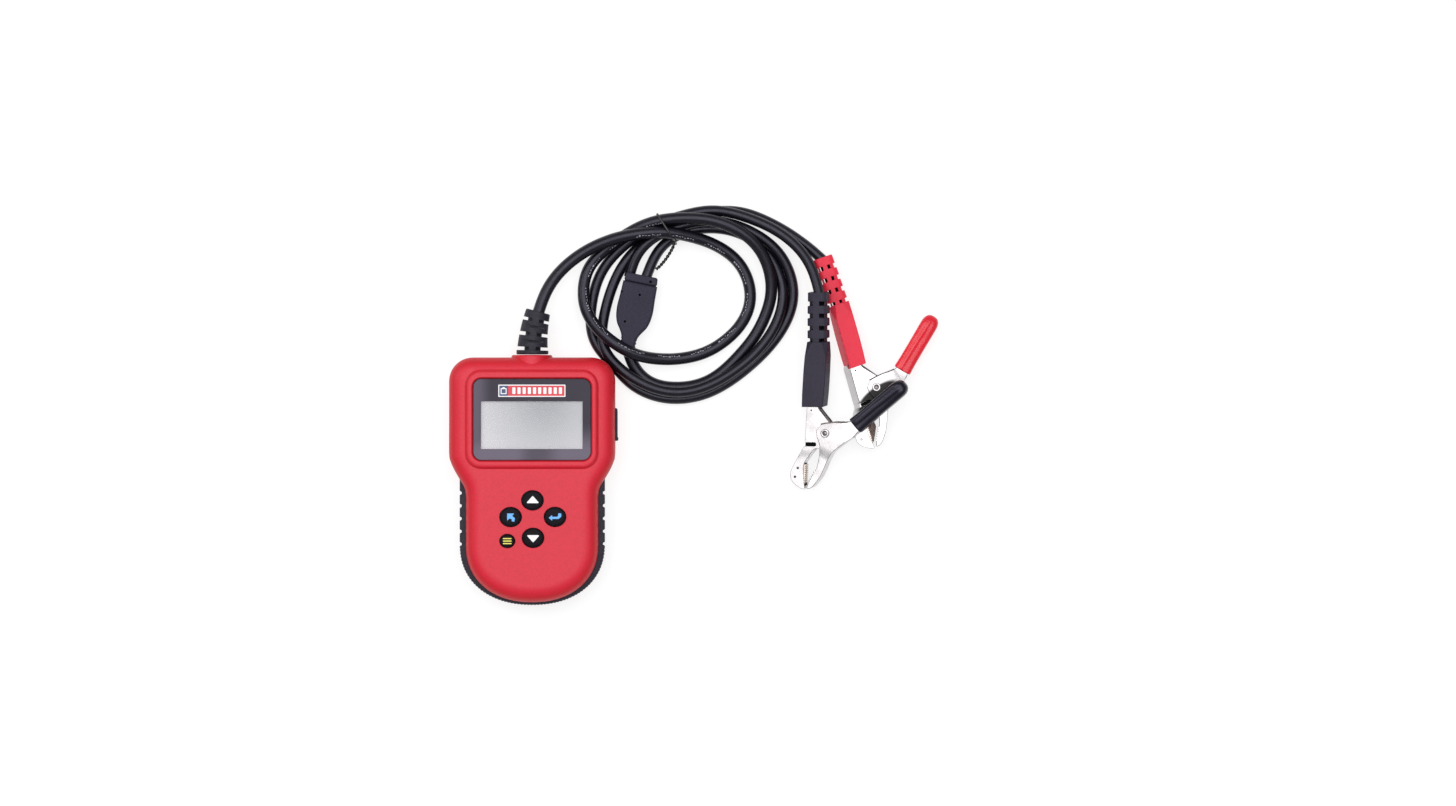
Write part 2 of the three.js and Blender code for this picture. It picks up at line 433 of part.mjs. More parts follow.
put('splitter_cap', pillow(profileOf(CAP_PROFILE), 0.3, SPLIT_T - 0.3, 1.1), RUBBER, 0.8);
{
  const at = (c, k, r) => [COIL_C[0] + r * Math.cos(2 * Math.PI * k / 32), COIL_C[1] + r * Math.sin(2 * Math.PI * k / 32)];
  const arc = (c, a, b) => {
    const out = [], inn = [];
    for (let k = a; k <= b; k++) { out.push(at(c, k, c.out[k % 32])); inn.push(at(c, k, c.in[k % 32])); }
    return prism([...out, ...inn.reverse()], c.z0, c.z1);
  };
  const low = prism(COIL_LOW.out.map((r, k) => at(COIL_LOW, k, r)), COIL_LOW.z0, COIL_LOW.z1, [COIL_LOW.in.map((r, k) => at(COIL_LOW, k, r)).reverse()]);
  let s = union(low, arc(COIL_MID, 1, 30), arc(COIL_TOP, 3, 13), arc(COIL_TOP, 18, 21));
  // slot for the tie: a thin slab across the bundle, less the core inside the loop
  const tieSlot = () => {
    const o = new THREE.Vector3(...TIE_ORIGIN, 0), d = new THREE.Vector3(...TIE_ALONG, 0);
    const n = new THREE.Vector3(-d.y, d.x, 0);
    const frame = new THREE.Matrix4().makeBasis(d, new THREE.Vector3(0, 0, 1), new THREE.Vector3().crossVectors(d, new THREE.Vector3(0, 0, 1))).setPosition(o);
    return cut(box(-3, 22.5, -1, 19, -1.1, 1.1), prism(TIE_CORE, -3, 3)).transform(Array.from(frame.elements));
  };
  const grow = (path, d, lead) => {
    const a = new THREE.Vector3(...path[0]), b = new THREE.Vector3(...path[1]);
    const y = new THREE.Vector3(...path[path.length - 1]), x = new THREE.Vector3(...path[path.length - 2]);
    const first = a.clone().addScaledVector(a.clone().sub(b).normalize(), lead).toArray();
    const last = y.clone().addScaledVector(y.clone().sub(x).normalize(), lead).toArray();
    return tube([first, ...path, last], d + 1.0, 8, 12);
  };
  s = cut(s, grow(MAIN_PATH, MAIN_D, 0.5), grow(BLACK_PATH, LEAD_D, 0.5), grow(RED_PATH, LEAD_D, 0.5),
    prism(profileOf([[-0.4, 3.7], ...SPLIT_PROFILE.slice(1), [splitLen + 0.4, 8.4]], 0.4), -1, SPLIT_T + 0.4),
    prism(inset(OUTLINE, -0.5), -1, 30),
    tieSlot(), tube(TIE_TAIL, TIE_D + 2.2, 4, 5));
  put('cable_coil', biggest(s), BLACK, 0.45);
}
put('main_cable', mainTube, BLACK, 0.45);
put('twist_tie', tube([...TIE_LOOP, ...TIE_TAIL.slice(1)], TIE_D, 5, 40), BLACK, 0.5);

// --------------------------------------------------------------------- clamps
// Both clamps are the same pieces. Local frame: the rivet is the origin, Z runs
// along the rivet, +Y to the boot and the jaws point to -Y.
const rot = (p, a) => [p[0] * Math.cos(a) - p[1] * Math.sin(a), p[0] * Math.sin(a) + p[1] * Math.cos(a)];
const HANDLE_A = 40 * Math.PI / 180;
const handlePt = (t, u) => [14.2 + t * Math.cos(HANDLE_A) - u * Math.sin(HANDLE_A), 2.9 + t * Math.sin(HANDLE_A) + u * Math.cos(HANDLE_A)];
function clampPieces(end) {
  const tip = end - 2.7; // where the metal stops inside the sleeve
  const W = CLAMP_W, F = CLAMP_W - 2 * SHEET - 2 * GAP;
  // moving arm: side plates and an outer web, open towards the fixed arm
  const movingJaw = [[8.6, 5.45], [2, 5.2], [-2, 4.6], [-4.6, 1.5], [-4.2, -2.2], [-2.8, -5.2], [-4.5, -17.5], [-5.8, -20.1], [-6.9, -20.9], [-6.6, -21.7], [-8.0, -22.4], [-7.7, -23.3], [-9.2, -24.1], [-9.0, -25.2], [-9.9, -26.4], [-10.2, -28.7], [-6.8, -27.5], [-2.8, -22.4], [0.7, -14.9], [3.3, -10], [11.0, -4.2]];
  const pocket = [[-7.3, -26.4], [-3.5, -21.9], [0.0, -14.4], [2.75, -9.35], [14, -0.9], [14, 30], [-30, 30], [-30, -14], [-9.3, -19.5], [-8.2, -25.2]];
  let moving = cut(prism(movingJaw, -W / 2, W / 2), prism(pocket, -W / 2 + SHEET, W / 2 - SHEET));
  // the handle is narrower than the arm, and a shoulder joins the two widths
  const H = 7.2;
  const handle = [handlePt(1.0, -3.3), handlePt(tip, -3.3), handlePt(tip, 3.3), handlePt(1.0, 3.3), [11.7, 5.7], [8.0, 5.4], [10.2, -4.8], [16.3, -0.2]];
  const handlePocket = [[10.6, -5.3], [10.9, -3.2], [16.2, 0.8], handlePt(1.5, -2.5), handlePt(40, -2.5), handlePt(40, 9), [6, 12], [6, -8]];
  const grip = cut(prism(handle, -H / 2, H / 2), prism(handlePocket, -H / 2 + SHEET, H / 2 - SHEET));
  const shoulder = cut(prism([[8.0, 5.4], [9.2, 5.5], [11.9, -3.5], [10.6, -4.5]], -W / 2, W / 2), prism([[4, 9], [14, 9], [14, -1.0], [10.9, -3.3], [4, -3.3]], -H / 2 + SHEET, H / 2 - SHEET));
  moving = union(moving, grip, shoulder);
  moving = cut(moving, drum(0, 0, 1.75, -20, 20, 12));
  // fixed arm: narrower channel with its tail inside the boot
  const fixed = [[-8.1, 38], [-9.6, 13.1], [-10.8, -4.9], [-4.5, -4.9], [-4.5, -6.8], [-11.3, -6.8], [-18.7, -19.8], [-18.6, -23.1], [-15.3, -27.1], [-11, -28.9], [-11.3, -27.4], [-11.4, -15.3], [-5.6, -7.6], [-2.0, -8.0], [1.5, -7.5], [4.0, -2.2], [4.1, 2.0], [2.0, 5.5], [-3.9, 12.8], [-2.0, 38]];
  const fpocket = [[-7.3, 39], [-8.8, 13.1], [-10.0, -3.9], [-10.0, -7.9], [-10.9, -7.3], [-17.9, -19.9], [-17.8, -22.9], [-15.0, -26.2], [-12.6, -27.2], [-9, -27], [-9, -16], [8, -14], [8, 12], [-1.2, 14], [0, 40]];
  let fix = cut(prism(fixed, -F / 2, F / 2), prism(fpocket, -F / 2 + SHEET, F / 2 - SHEET), drum(0, 0, 1.75, -20, 20, 12));
  fix = cut(fix, box(-12, -4.5, -6.8, -4.8, -20, 20));
  // serrated contact plate inside the fixed jaw
  const P = F / 2 - SHEET - GAP;
  const plate = [[-16.6, -19.8], [-11.2, -16.0], [-10.4, -16.6], [-11.0, -17.6], [-10.3, -18.6], [-11.0, -19.6], [-10.4, -20.6], [-11.1, -21.6], [-10.5, -22.6], [-11.2, -23.6], [-10.7, -24.6], [-11.3, -25.6], [-12.0, -26.2], [-14.3, -25.4], [-16.9, -22.6]];
  const contact = prism(plate, -P, P);
  // boot: block and ribbed neck, hollow below for the arm's tail
  const section = (y, cx, hw, ht, c) => {
    const k = Math.min(c, hw - 0.3, ht - 0.3);
    return [[hw, -ht + k], [hw, ht - k], [hw - k, ht], [-hw + k, ht], [-hw, ht - k], [-hw, -ht + k], [-hw + k, -ht], [hw - k, -ht]].map(([x, z]) => [cx + x, y, z]);
  };
  const bootRings = [
    section(13.6, -6.9, 5.6, 5.7, 1.2), section(14.4, -6.8, 6.1, 6.0, 1.2), section(32, -5.2, 5.9, 5.9, 1.2), section(46.2, -4.1, 5.5, 5.4, 2.6),
    section(46.4, -4.1, 4.2, 4.2, 1.8), section(48.0, -4.1, 4.2, 4.2, 1.8),
  ];
  for (let i = 0; i < 4; i++) {
    const y0 = 48.2 + 6.2 * i;
    bootRings.push(section(y0, -4.08 + 0.07 * i, 5.2, 5.2, 1.8), section(y0 + 3.9, -4.05 + 0.07 * i, 5.2, 5.2, 1.8));
    if (i < 3) bootRings.push(section(y0 + 4.1, -4.05 + 0.07 * i, 4.2, 4.2, 1.6), section(y0 + 6.0, -4.0 + 0.07 * i, 4.2, 4.2, 1.6));
  }
  bootRings.push(section(71.4, -3.8, 5.0, 5.0, 1.8));
  let boot = loft(bootRings);
  boot = boot.subtract(loft([section(10, -6.9, 4.7, 4.6, 0.8), section(13.6, -6.9, 4.7, 4.6, 0.8), section(39, -5.0, 4.3, 4.6, 0.8)]));
  // sleeve over the handle
  const slice = (t, h, k) => {
    const c = h * k;
    return [[h, -h + c], [h, h - c], [h - c, h], [-h + c, h], [-h, h - c], [-h, -h + c], [-h + c, -h], [h - c, -h]].map(([u, z]) => [...handlePt(t, u), z]);
  };
  let sleeve = loft([slice(1.4, 4.3, 0.35), slice(end - 4.7, 4.4, 0.35), slice(end - 1.3, 3.7, 0.4), slice(end, 2.2, 0.4)]);
  sleeve = sleeve.subtract(loft([slice(-2, 3.65, 0.04), slice(tip + 0.4, 3.65, 0.04)]).intersect(prism([handlePt(-3, -3.6), handlePt(tip + 0.4, -3.6), handlePt(tip + 0.4, 3.6), handlePt(-3, 3.6)], -3.95, 3.95)));
  // hollow rivet
  const q = W / 2 + GAP;
  const rivet = toSolid((() => {
    const pts = [[0.8, -q - 0.5], [2.1, -q - 0.5], [2.1, -q], [1.4, -q], [1.4, q], [2.1, q], [2.1, q + 0.5], [0.8, q + 0.5], [0.8, -q - 0.5]];
    const g = new THREE.LatheGeometry(pts.map((p) => new THREE.Vector2(p[0], p[1])), 12);
    g.rotateX(Math.PI / 2);
    return g;
  })());
  // torsion spring round the rivet with a leg against each arm
  const helix = [[-6.2, 11.2, -1.9], [-5.0, 7.5, -1.9]];
  for (let i = 0; i <= 18; i++) {
    const a = (150 - 360 * i / 8) * Math.PI / 180;
    helix.push([2.5 * Math.cos(a), 2.5 * Math.sin(a), -1.9 + 3.8 * i / 18]);
  }
  helix.push([5.0, 1.7, 1.9], [7.6, 3.2, 1.9], [10.2, 4.1, 1.9]);
  const spring = tube(helix, 0.85, 4, 34);
  return { boot, fixed_arm: fix, moving_arm: moving, handle_sleeve: sleeve, pivot_rivet: rivet, jaw_contact: contact, torsion_spring: spring };
}
function clamp(prefix, frame, bootColor, sleeveColor) {
  const pieces = clampPieces(SLEEVE_END[prefix]);
  const g = new THREE.Group();
  g.applyMatrix4(frame);
  group.add(g);
  put(`${prefix}_boot`, pieces.boot, bootColor, 0.7, 0, g);
  put(`${prefix}_fixed_arm`, pieces.fixed_arm, METAL, 0.25, 1, g);
  put(`${prefix}_moving_arm`, pieces.moving_arm, METAL, 0.25, 1, g);
  put(`${prefix}_handle_sleeve`, pieces.handle_sleeve, sleeveColor, 0.25, 0, g);
  put(`${prefix}_pivot_rivet`, pieces.pivot_rivet, METAL, 0.25, 1, g);
  put(`${prefix}_jaw_contact`, pieces.jaw_contact, METAL, 0.3, 1, g);
  put(`${prefix}_torsion_spring`, pieces.torsion_spring, STEEL, 0.3, 1, g);
}
const redFrame = new THREE.Matrix4().makeTranslation(RED_PIVOT.x, RED_PIVOT.y, RED_PIVOT.z).multiply(new THREE.Matrix4().makeRotationZ(RED_TURN));
const blackUp = new THREE.Vector3(-BLACK_SLOPE[0], -BLACK_SLOPE[1], 1).normalize();
const blackFrame = new THREE.Matrix4().compose(BLACK_PIVOT, new THREE.Quaternion().setFromUnitVectors(new THREE.Vector3(0, 0, 1), blackUp), new THREE.Vector3(1, 1, 1));
clamp('red', redFrame, 0xe2475a, 0xe03440);
clamp('black', blackFrame, 0x3a3742, 0x26242c);

// Each lead stops just above its boot.
const beyond = box(-20, 20, 40, 71.4 + GAP, -20, 20);
put('red_lead', biggest(redTube.subtract(beyond.transform(Array.from(redFrame.elements)))), BLACK, 0.45);
put('black_lead', biggest(blackTube.subtract(beyond.transform(Array.from(blackFrame.elements)))), BLACK, 0.45);
export default group;
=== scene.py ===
import math

import bmesh
import bpy
import numpy as np
from mathutils import Matrix, Vector


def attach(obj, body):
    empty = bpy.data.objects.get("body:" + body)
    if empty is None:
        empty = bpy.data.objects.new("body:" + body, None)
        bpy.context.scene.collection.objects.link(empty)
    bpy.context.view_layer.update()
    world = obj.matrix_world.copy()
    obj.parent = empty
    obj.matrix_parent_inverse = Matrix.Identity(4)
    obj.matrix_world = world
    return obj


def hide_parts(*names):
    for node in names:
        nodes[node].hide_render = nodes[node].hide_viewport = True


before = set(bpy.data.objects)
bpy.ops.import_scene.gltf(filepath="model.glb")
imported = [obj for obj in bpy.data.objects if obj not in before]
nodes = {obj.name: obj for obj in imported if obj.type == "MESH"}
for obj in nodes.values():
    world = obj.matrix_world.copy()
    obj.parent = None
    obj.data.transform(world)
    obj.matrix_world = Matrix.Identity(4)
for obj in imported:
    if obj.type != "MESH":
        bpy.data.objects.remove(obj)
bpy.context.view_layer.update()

MM = 0.001
scene = bpy.context.scene
scene.view_settings.view_transform = "Standard"

# ------------------------------------------------------------------ camera
CAM_CENTRE = (0.0994, 0.0391)
cam_data = bpy.data.cameras.new("camera")
cam_data.sensor_width = 36.0
cam_data.clip_end = 50.0
cam_data.lens = 194.1
cam = bpy.data.objects.new("camera", cam_data)
cam.location = (CAM_CENTRE[0], CAM_CENTRE[1], 4.0)
scene.collection.objects.link(cam)
scene.camera = cam

# ------------------------------------------------------------------ shapes
def catmull(points, step):
    """Smooth open line through the points, about one step apart."""
    p = np.asarray(points, float)
    p = np.vstack([2 * p[0] - p[1], p, 2 * p[-1] - p[-2]])
    out = []
    for i in range(1, len(p) - 2):
        a, b, c, d = p[i - 1], p[i], p[i + 1], p[i + 2]
        n = max(1, int(round(np.linalg.norm(c - b) / step)))
        for k in range(n):
            t = k / n
            out.append(0.5 * (2 * b + (c - a) * t + (2 * a - 5 * b + 4 * c - d) * t * t + (3 * b - a - 3 * c + d) * t ** 3))
    out.append(p[-2])
    return np.array(out)


def fillet(pts, radius=0.0, seg=5):
    """Closed outline with each corner rounded. A point's third number is its own radius."""
    out = []
    n = len(pts)
    for i in range(n):
        p, a, b = (np.array(q[:2], float) for q in (pts[i], pts[i - 1], pts[(i + 1) % n]))
        r = pts[i][2] if len(pts[i]) > 2 else radius
        u, v = a - p, b - p
        lu, lv = np.linalg.norm(u), np.linalg.norm(v)
        u, v = u / lu, v / lv
        ang = math.acos(max(-1, min(1, float(u @ v))))
        if r <= 0 or ang > math.radians(177):
            out.append(p)
            continue
        t = r / math.tan(ang / 2)
        if t > min(lu, lv) * 0.48:
            t = min(lu, lv) * 0.48
            r = t * math.tan(ang / 2)
        w = (u + v) / np.linalg.norm(u + v)
        c = p + w * (r / math.sin(ang / 2))
        p0, p1 = p + u * t - c, p + v * t - c
        a0, a1 = math.atan2(p0[1], p0[0]), math.atan2(p1[1], p1[0])
        d = (a1 - a0 + math.pi) % (2 * math.pi) - math.pi
        k = max(2, int(seg * abs(d) / (math.pi / 2) + 0.5) + 1)
        for j in range(k + 1):
            s = a0 + d * j / k
            out.append(c + r * np.array([math.cos(s), math.sin(s)]))
    return np.array(out)


def area2(p):
    p = np.asarray(p)
    q = np.roll(p, -1, 0)
    return float((p[:, 0] * q[:, 1] - q[:, 0] * p[:, 1]).sum())


def ccw(p):
    p = np.asarray(p, float)
    return p if area2(p) > 0 else p[::-1]


def step_in(p, d):
    u = p - np.roll(p, 1, 0)
    lu = np.linalg.norm(u, axis=1)
    for _ in range(len(p)):
        bad = lu < 1e-6
        if not bad.any():
            break
        u[bad] = np.roll(u, 1, 0)[bad]
        lu[bad] = np.roll(lu, 1)[bad]
    u = u / np.maximum(lu, 1e-9)[:, None]
    w = np.roll(p, -1, 0) - p
    lw = np.linalg.norm(w, axis=1)
    for _ in range(len(p)):
        bad = lw < 1e-6
        if not bad.any():
            break
        w[bad] = np.roll(w, -1, 0)[bad]
        lw[bad] = np.roll(lw, -1)[bad]
    w = w / np.maximum(lw, 1e-9)[:, None]
    n = np.stack([-(u[:, 1] + w[:, 1]), u[:, 0] + w[:, 0]], 1)
    n /= np.maximum(np.linalg.norm(n, axis=1), 1e-9)[:, None]
    k = np.sqrt(np.maximum(0.35, ((u * w).sum(1) + 1) / 2))
    return p + n * (d / k)[:, None]


def inset(p, d):
    """Outline moved inwards by d; edges too short to survive close up instead of turning over."""
    p = np.asarray(p, float)
    if abs(d) < 1e-9:
        return p.copy()
    steps = max(1, int(math.ceil(abs(d) / 0.08)))
    first = np.roll(p, -1, 0) - p
    for _ in range(steps):
        q = step_in(p.copy(), d / steps)
        for _ in range(3):
            e = np.roll(q, -1, 0) - q
            bad = np.where((e * first).sum(1) < 0)[0]
            if not len(bad):
                break
            for i in bad:
                j = (i + 1) % len(q)
                q[i] = q[j] = (q[i] + q[j]) / 2
        p = q
    return p


def lift(p, z):
    return np.column_stack([p, np.full(len(p), float(z))])


def loft(rings, caps=True):
    n = len(rings[0])
    v = np.vstack(rings)
    f = []
    for k in range(len(rings) - 1):
        for i in range(n):
            j = (i + 1) % n
            f.append((k * n + i, k * n + j, (k + 1) * n + j, (k + 1) * n + i))
    if caps:
        f.append(tuple(range(n))[::-1])
        f.append(tuple((len(rings) - 1) * n + i for i in range(n)))
    return v, f


def slab(outline, z0, z1, r0=0.0, r1=0.0, seg=4):
    """Upright slab of an outline with its lower and upper rims rounded."""
    o = ccw(outline)
    rings = []
    if r0 > 0:
        for j in range(seg + 1):
            a = math.pi / 2 * j / seg
            rings.append(lift(inset(o, r0 * (1 - math.sin(a))), z0 + r0 * (1 - math.cos(a))))
    else:
        rings.append(lift(o, z0))
    if r1 > 0:
        for j in range(seg + 1):
            a = math.pi / 2 * j / seg
            rings.append(lift(inset(o, r1 * (1 - math.cos(a))), z1 - r1 * (1 - math.sin(a))))
    else:
        rings.append(lift(o, z1))
    return loft(rings)


def lathe(profile, n=64, centre=(0, 0), axis="z"):
    """Turned piece from [radius, height] points; a radius of 0 closes it."""
    v, f = [], []
    rows = []
    for r, h in profile:
        if r <= 1e-9:
            rows.append([len(v)])
            v.append((0, 0, h))
        else:
            rows.append(list(range(len(v), len(v) + n)))
            v += [(r * math.cos(2 * math.pi * i / n), r * math.sin(2 * math.pi * i / n), h) for i in range(n)]
    for a, b in zip(rows, rows[1:]):
        for i in range(n):
            j = (i + 1) % n
            if len(a) == 1 and len(b) == 1:
                continue
            if len(a) == 1:
                f.append((a[0], b[j], b[i]))
            elif len(b) == 1:
                f.append((a[i], a[j], b[0]))
            else:
                f.append((a[i], a[j], b[j], b[i]))
    closed_ring = profile[0][0] > 1e-9 and list(profile[0]) == list(profile[-1])
    v = np.array(v, float)
    if not closed_ring:
        if len(rows[0]) > 1:
            f.append(tuple(rows[0])[::-1])
        if len(rows[-1]) > 1:
            f.append(tuple(rows[-1]))
    if axis == "y":
        v = v[:, [0, 2, 1]]
    v[:, 0] += centre[0]
    v[:, 1] += centre[1]
    return v, f


def frames_along(p):
    """Tangent, side and up at each point of a line, turned as little as possible."""
    p = np.asarray(p, float)
    t = np.gradient(p, axis=0)
    t /= np.linalg.norm(t, axis=1)[:, None]
    up = np.array([0, 0, 1.0]) if abs(t[0][2]) < 0.9 else np.array([1.0, 0, 0])
    s = np.cross(up, t[0])
    s /= np.linalg.norm(s)
    side = []
    for k in range(len(p)):
        s = s - t[k] * (s @ t[k])
        s /= np.linalg.norm(s)
        side.append(s)
    side = np.array(side)
    return t, side, np.cross(t, side)


def tube(points, radius, sides=16, caps=True, radii=None, closed=False):
    p = np.asarray(points, float)
    t, s, u = frames_along(p)
    rings = []
    for k in range(len(p)):
        r = radius if radii is None else radii[k]
        a = np.arange(sides) * 2 * math.pi / sides
        rings.append(p[k] + r * (np.cos(a)[:, None] * s[k] + np.sin(a)[:, None] * u[k]))
    return loft(rings, caps)


def roundrect(x0, x1, y0, y1, r, seg=8):
    return fillet([(x1, y1), (x0, y1), (x0, y0), (x1, y0)], r, seg)


def joined(*parts):
    vs, fs, base = [], [], 0
    for v, f in parts:
        vs.append(np.asarray(v, float))
        fs += [tuple(i + base for i in q) for q in f]
        base += len(v)
    return np.vstack(vs), fs


def at(matrix, part):
    v, f = part
    v = np.asarray(v, float)
    h = np.column_stack([v, np.ones(len(v))]) @ np.array(matrix).T
    return h[:, :3], f


def raw(name, part):
    """A Blender object from vertices in millimetres."""
    v, f = part
    me = bpy.data.meshes.new(name)
    me.from_pydata([tuple(float(c) * MM for c in q) for q in v], [], [tuple(int(i) for i in q) for q in f])
    me.validate()
    bm = bmesh.new()
    bm.from_mesh(me)
    bmesh.ops.remove_doubles(bm, verts=bm.verts, dist=1e-7)
    bmesh.ops.recalc_face_normals(bm, faces=bm.faces)
    bm.to_mesh(me)
    bm.free()
    o = bpy.data.objects.new(name, me)
    scene.collection.objects.link(o)
    return o


def settle(o):
    """Applies every modifier."""
    bpy.context.view_layer.update()
    dg = bpy.context.evaluated_depsgraph_get()
    me = bpy.data.meshes.new_from_object(o.evaluated_get(dg))
    old = o.data
    o.modifiers.clear()
    o.data = me
    if old.users == 0:
        bpy.data.meshes.remove(old)
    return o


def combine(o, op, *others):
    for b in others:
        before = o.data.copy()
        m = o.modifiers.new("b", "BOOLEAN")
        m.operation = op
        m.solver = "EXACT"
        m.object = b
        settle(o)
        if len(o.data.polygons) < 4:
            print("EMPTY after", op, "on", o.name)
            o.data = before
        me = b.data
        bpy.data.objects.remove(b)
        bpy.data.meshes.remove(me)
    bm = bmesh.new()
    bm.from_mesh(o.data)
    bmesh.ops.remove_doubles(bm, verts=bm.verts, dist=2e-6)
    bmesh.ops.dissolve_degenerate(bm, dist=1e-6, edges=bm.edges)
    bm.to_mesh(o.data)
    bm.free()
    return o


def merge(o, *others):
    """Adds other meshes to a piece as they are."""
    bm = bmesh.new()
    bm.from_mesh(o.data)
    for b in others:
        bm.from_mesh(b.data)
        bpy.data.objects.remove(b)
    bm.to_mesh(o.data)
    bm.free()
    return o


def cut(o, *parts):
    return combine(o, "DIFFERENCE", *[raw("c", p) for p in parts])


def add(o, *parts):
    return combine(o, "UNION", *[raw("c", p) for p in parts])


def bevel(o, width, segments=2, angle=30):
    m = o.modifiers.new("v", "BEVEL")
    m.width = width * MM
    m.segments = segments
    m.limit_method = "ANGLE"
    m.angle_limit = math.radians(angle)
    m.use_clamp_overlap = True
    return settle(o)


def shade(o, angle=35, weighted=True):
    bm = bmesh.new()
    bm.from_mesh(o.data)
    lim = math.radians(angle)
    for e in bm.edges:
        e.smooth = not (len(e.link_faces) == 2 and e.calc_face_angle(0) > lim)
    for f in bm.faces:
        f.smooth = True
    bm.to_mesh(o.data)
    bm.free()
    if weighted:
        m = o.modifiers.new("w", "WEIGHTED_NORMAL")
        m.keep_sharp = True
        m.weight = 60
        settle(o)
    return o


def dress(o, mat, body="handset", replaces=()):
    o.data.materials.clear()
    for m in mat if isinstance(mat, (list, tuple)) else [mat]:
        o.data.materials.append(m)
    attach(o, body)
    if replaces:
        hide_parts(*replaces)
    return o


# ------------------------------------------------------------------ materials
def lin(r, g, b):
    return tuple(((c / 255) / 12.92 if c / 255 <= 0.04045 else ((c / 255 + 0.055) / 1.055) ** 2.4) for c in (r, g, b)) + (1.0,)


def scaled(c, k):
    return tuple(min(1.0, x * k) for x in c[:3]) + (1.0,)


def material(name, colour, rough, metal=0.0, spec=0.5, coat=0.0, coat_rough=0.1, speck=None, cloud=None, bump=(), rough_var=None, alpha=None, sheen=0.0, second=None, aniso=0.0, stretch=None):
    m = bpy.data.materials.new(name)
    m.use_nodes = True
    nt = m.node_tree
    b = nt.nodes["Principled BSDF"]
    b.inputs["Base Color"].default_value = colour
    b.inputs["Roughness"].default_value = rough
    b.inputs["Metallic"].default_value = metal
    b.inputs["Specular IOR Level"].default_value = spec
    b.inputs["Coat Weight"].default_value = coat
    b.inputs["Coat Roughness"].default_value = coat_rough
    b.inputs["Sheen Weight"].default_value = sheen
    b.inputs["Anisotropic"].default_value = aniso
    if alpha is not None:
        b.inputs["Alpha"].default_value = alpha
    tc = nt.nodes.new("ShaderNodeTexCoord")
    space = tc.outputs["Object"]
    if stretch:
        mp = nt.nodes.new("ShaderNodeMapping")
        mp.inputs["Rotation"].default_value = stretch[0]
        mp.inputs["Scale"].default_value = stretch[1]
        nt.links.new(tc.outputs["Object"], mp.inputs["Vector"])
        space = mp.outputs["Vector"]

    def noise(scale, detail=2.0, rough_=0.5, src=space):
        n = nt.nodes.new("ShaderNodeTexNoise")
        n.inputs["Scale"].default_value = scale
        n.inputs["Detail"].default_value = detail
        n.inputs["Roughness"].default_value = rough_
        nt.links.new(src, n.inputs["Vector"])
        return n.outputs["Fac"]

    def ramp(fac, lo, hi, a, c):
        r = nt.nodes.new("ShaderNodeMapRange")
        r.inputs["From Min"].default_value = lo
        r.inputs["From Max"].default_value = hi
        r.inputs["To Min"].default_value = a
        r.inputs["To Max"].default_value = c
        nt.links.new(fac, r.inputs["Value"])
        return r.outputs["Result"]

    def mix(fac, a, c):
        x = nt.nodes.new("ShaderNodeMix")
        x.data_type = "RGBA"
        nt.links.new(fac, x.inputs[0])
        for v, i in ((a, 6), (c, 7)):
            if isinstance(v, tuple):
                x.inputs[i].default_value = v
            else:
                nt.links.new(v, x.inputs[i])
        return x.outputs[2]

    col = None
    if cloud:
        scale, lo, hi = cloud
        col = mix(ramp(noise(scale, 3.0), 0.35, 0.65, 0, 1), scaled(colour, lo), scaled(colour, hi))
    if speck:
        scale, amount, tint = speck
        fac = ramp(noise(scale, 1.0), 0.5, 0.72, 0, amount)
        col = mix(fac, col if col is not None else colour, tint)
    if second:
        scale, lo, hi, tint = second
        fac = ramp(noise(scale, 4.0, 0.6), lo, hi, 0, 1)
        col = mix(fac, col if col is not None else colour, tint)
    if col is not None:
        nt.links.new(col, b.inputs["Base Color"])
    if rough_var:
        scale, lo, hi = rough_var
        nt.links.new(ramp(noise(scale, 4.0, 0.6), 0.3, 0.7, lo, hi), b.inputs["Roughness"])
    last = None
    for scale, strength, dist in bump:
        bp = nt.nodes.new("ShaderNodeBump")
        bp.inputs["Strength"].default_value = strength
        bp.inputs["Distance"].default_value = dist * MM
        nt.links.new(noise(scale, 3.0), bp.inputs["Height"])
        if last is not None:
            nt.links.new(last, bp.inputs["Normal"])
        last = bp.outputs["Normal"]
    if last is not None:
        nt.links.new(last, b.inputs["Normal"])
    return m


RED_SHELL = material("red_moulded", lin(213, 23, 50), 0.46, spec=0.45, speck=(2300, 0.30, lin(168, 14, 32)), cloud=(1100, 0.94, 1.06), bump=[(2300, 0.35, 0.05), (700, 0.10, 0.04)], rough_var=(1800, 0.40, 0.54))


def paint_slope_shade(m, tint):
    """Painted shade: a deeper red where the moulding turns away from its flat face."""
    nt = m.node_tree
    b = nt.nodes["Principled BSDF"]
    src = b.inputs["Base Color"].links[0].from_socket
    geo = nt.nodes.new("ShaderNodeNewGeometry")
    sp = nt.nodes.new("ShaderNodeSeparateXYZ")
    nt.links.new(geo.outputs["Normal"], sp.inputs[0])
    r = nt.nodes.new("ShaderNodeMapRange")
    r.interpolation_type = "SMOOTHSTEP"
    r.inputs["From Min"].default_value = 0.985
    r.inputs["From Max"].default_value = 0.72
    r.inputs["To Max"].default_value = 0.85
    nt.links.new(sp.outputs[2], r.inputs["Value"])
    x = nt.nodes.new("ShaderNodeMix")
    x.data_type = "RGBA"
    nt.links.new(r.outputs["Result"], x.inputs[0])
    nt.links.new(src, x.inputs[6])
    x.inputs[7].default_value = tint
    nt.links.new(x.outputs[2], b.inputs["Base Color"])
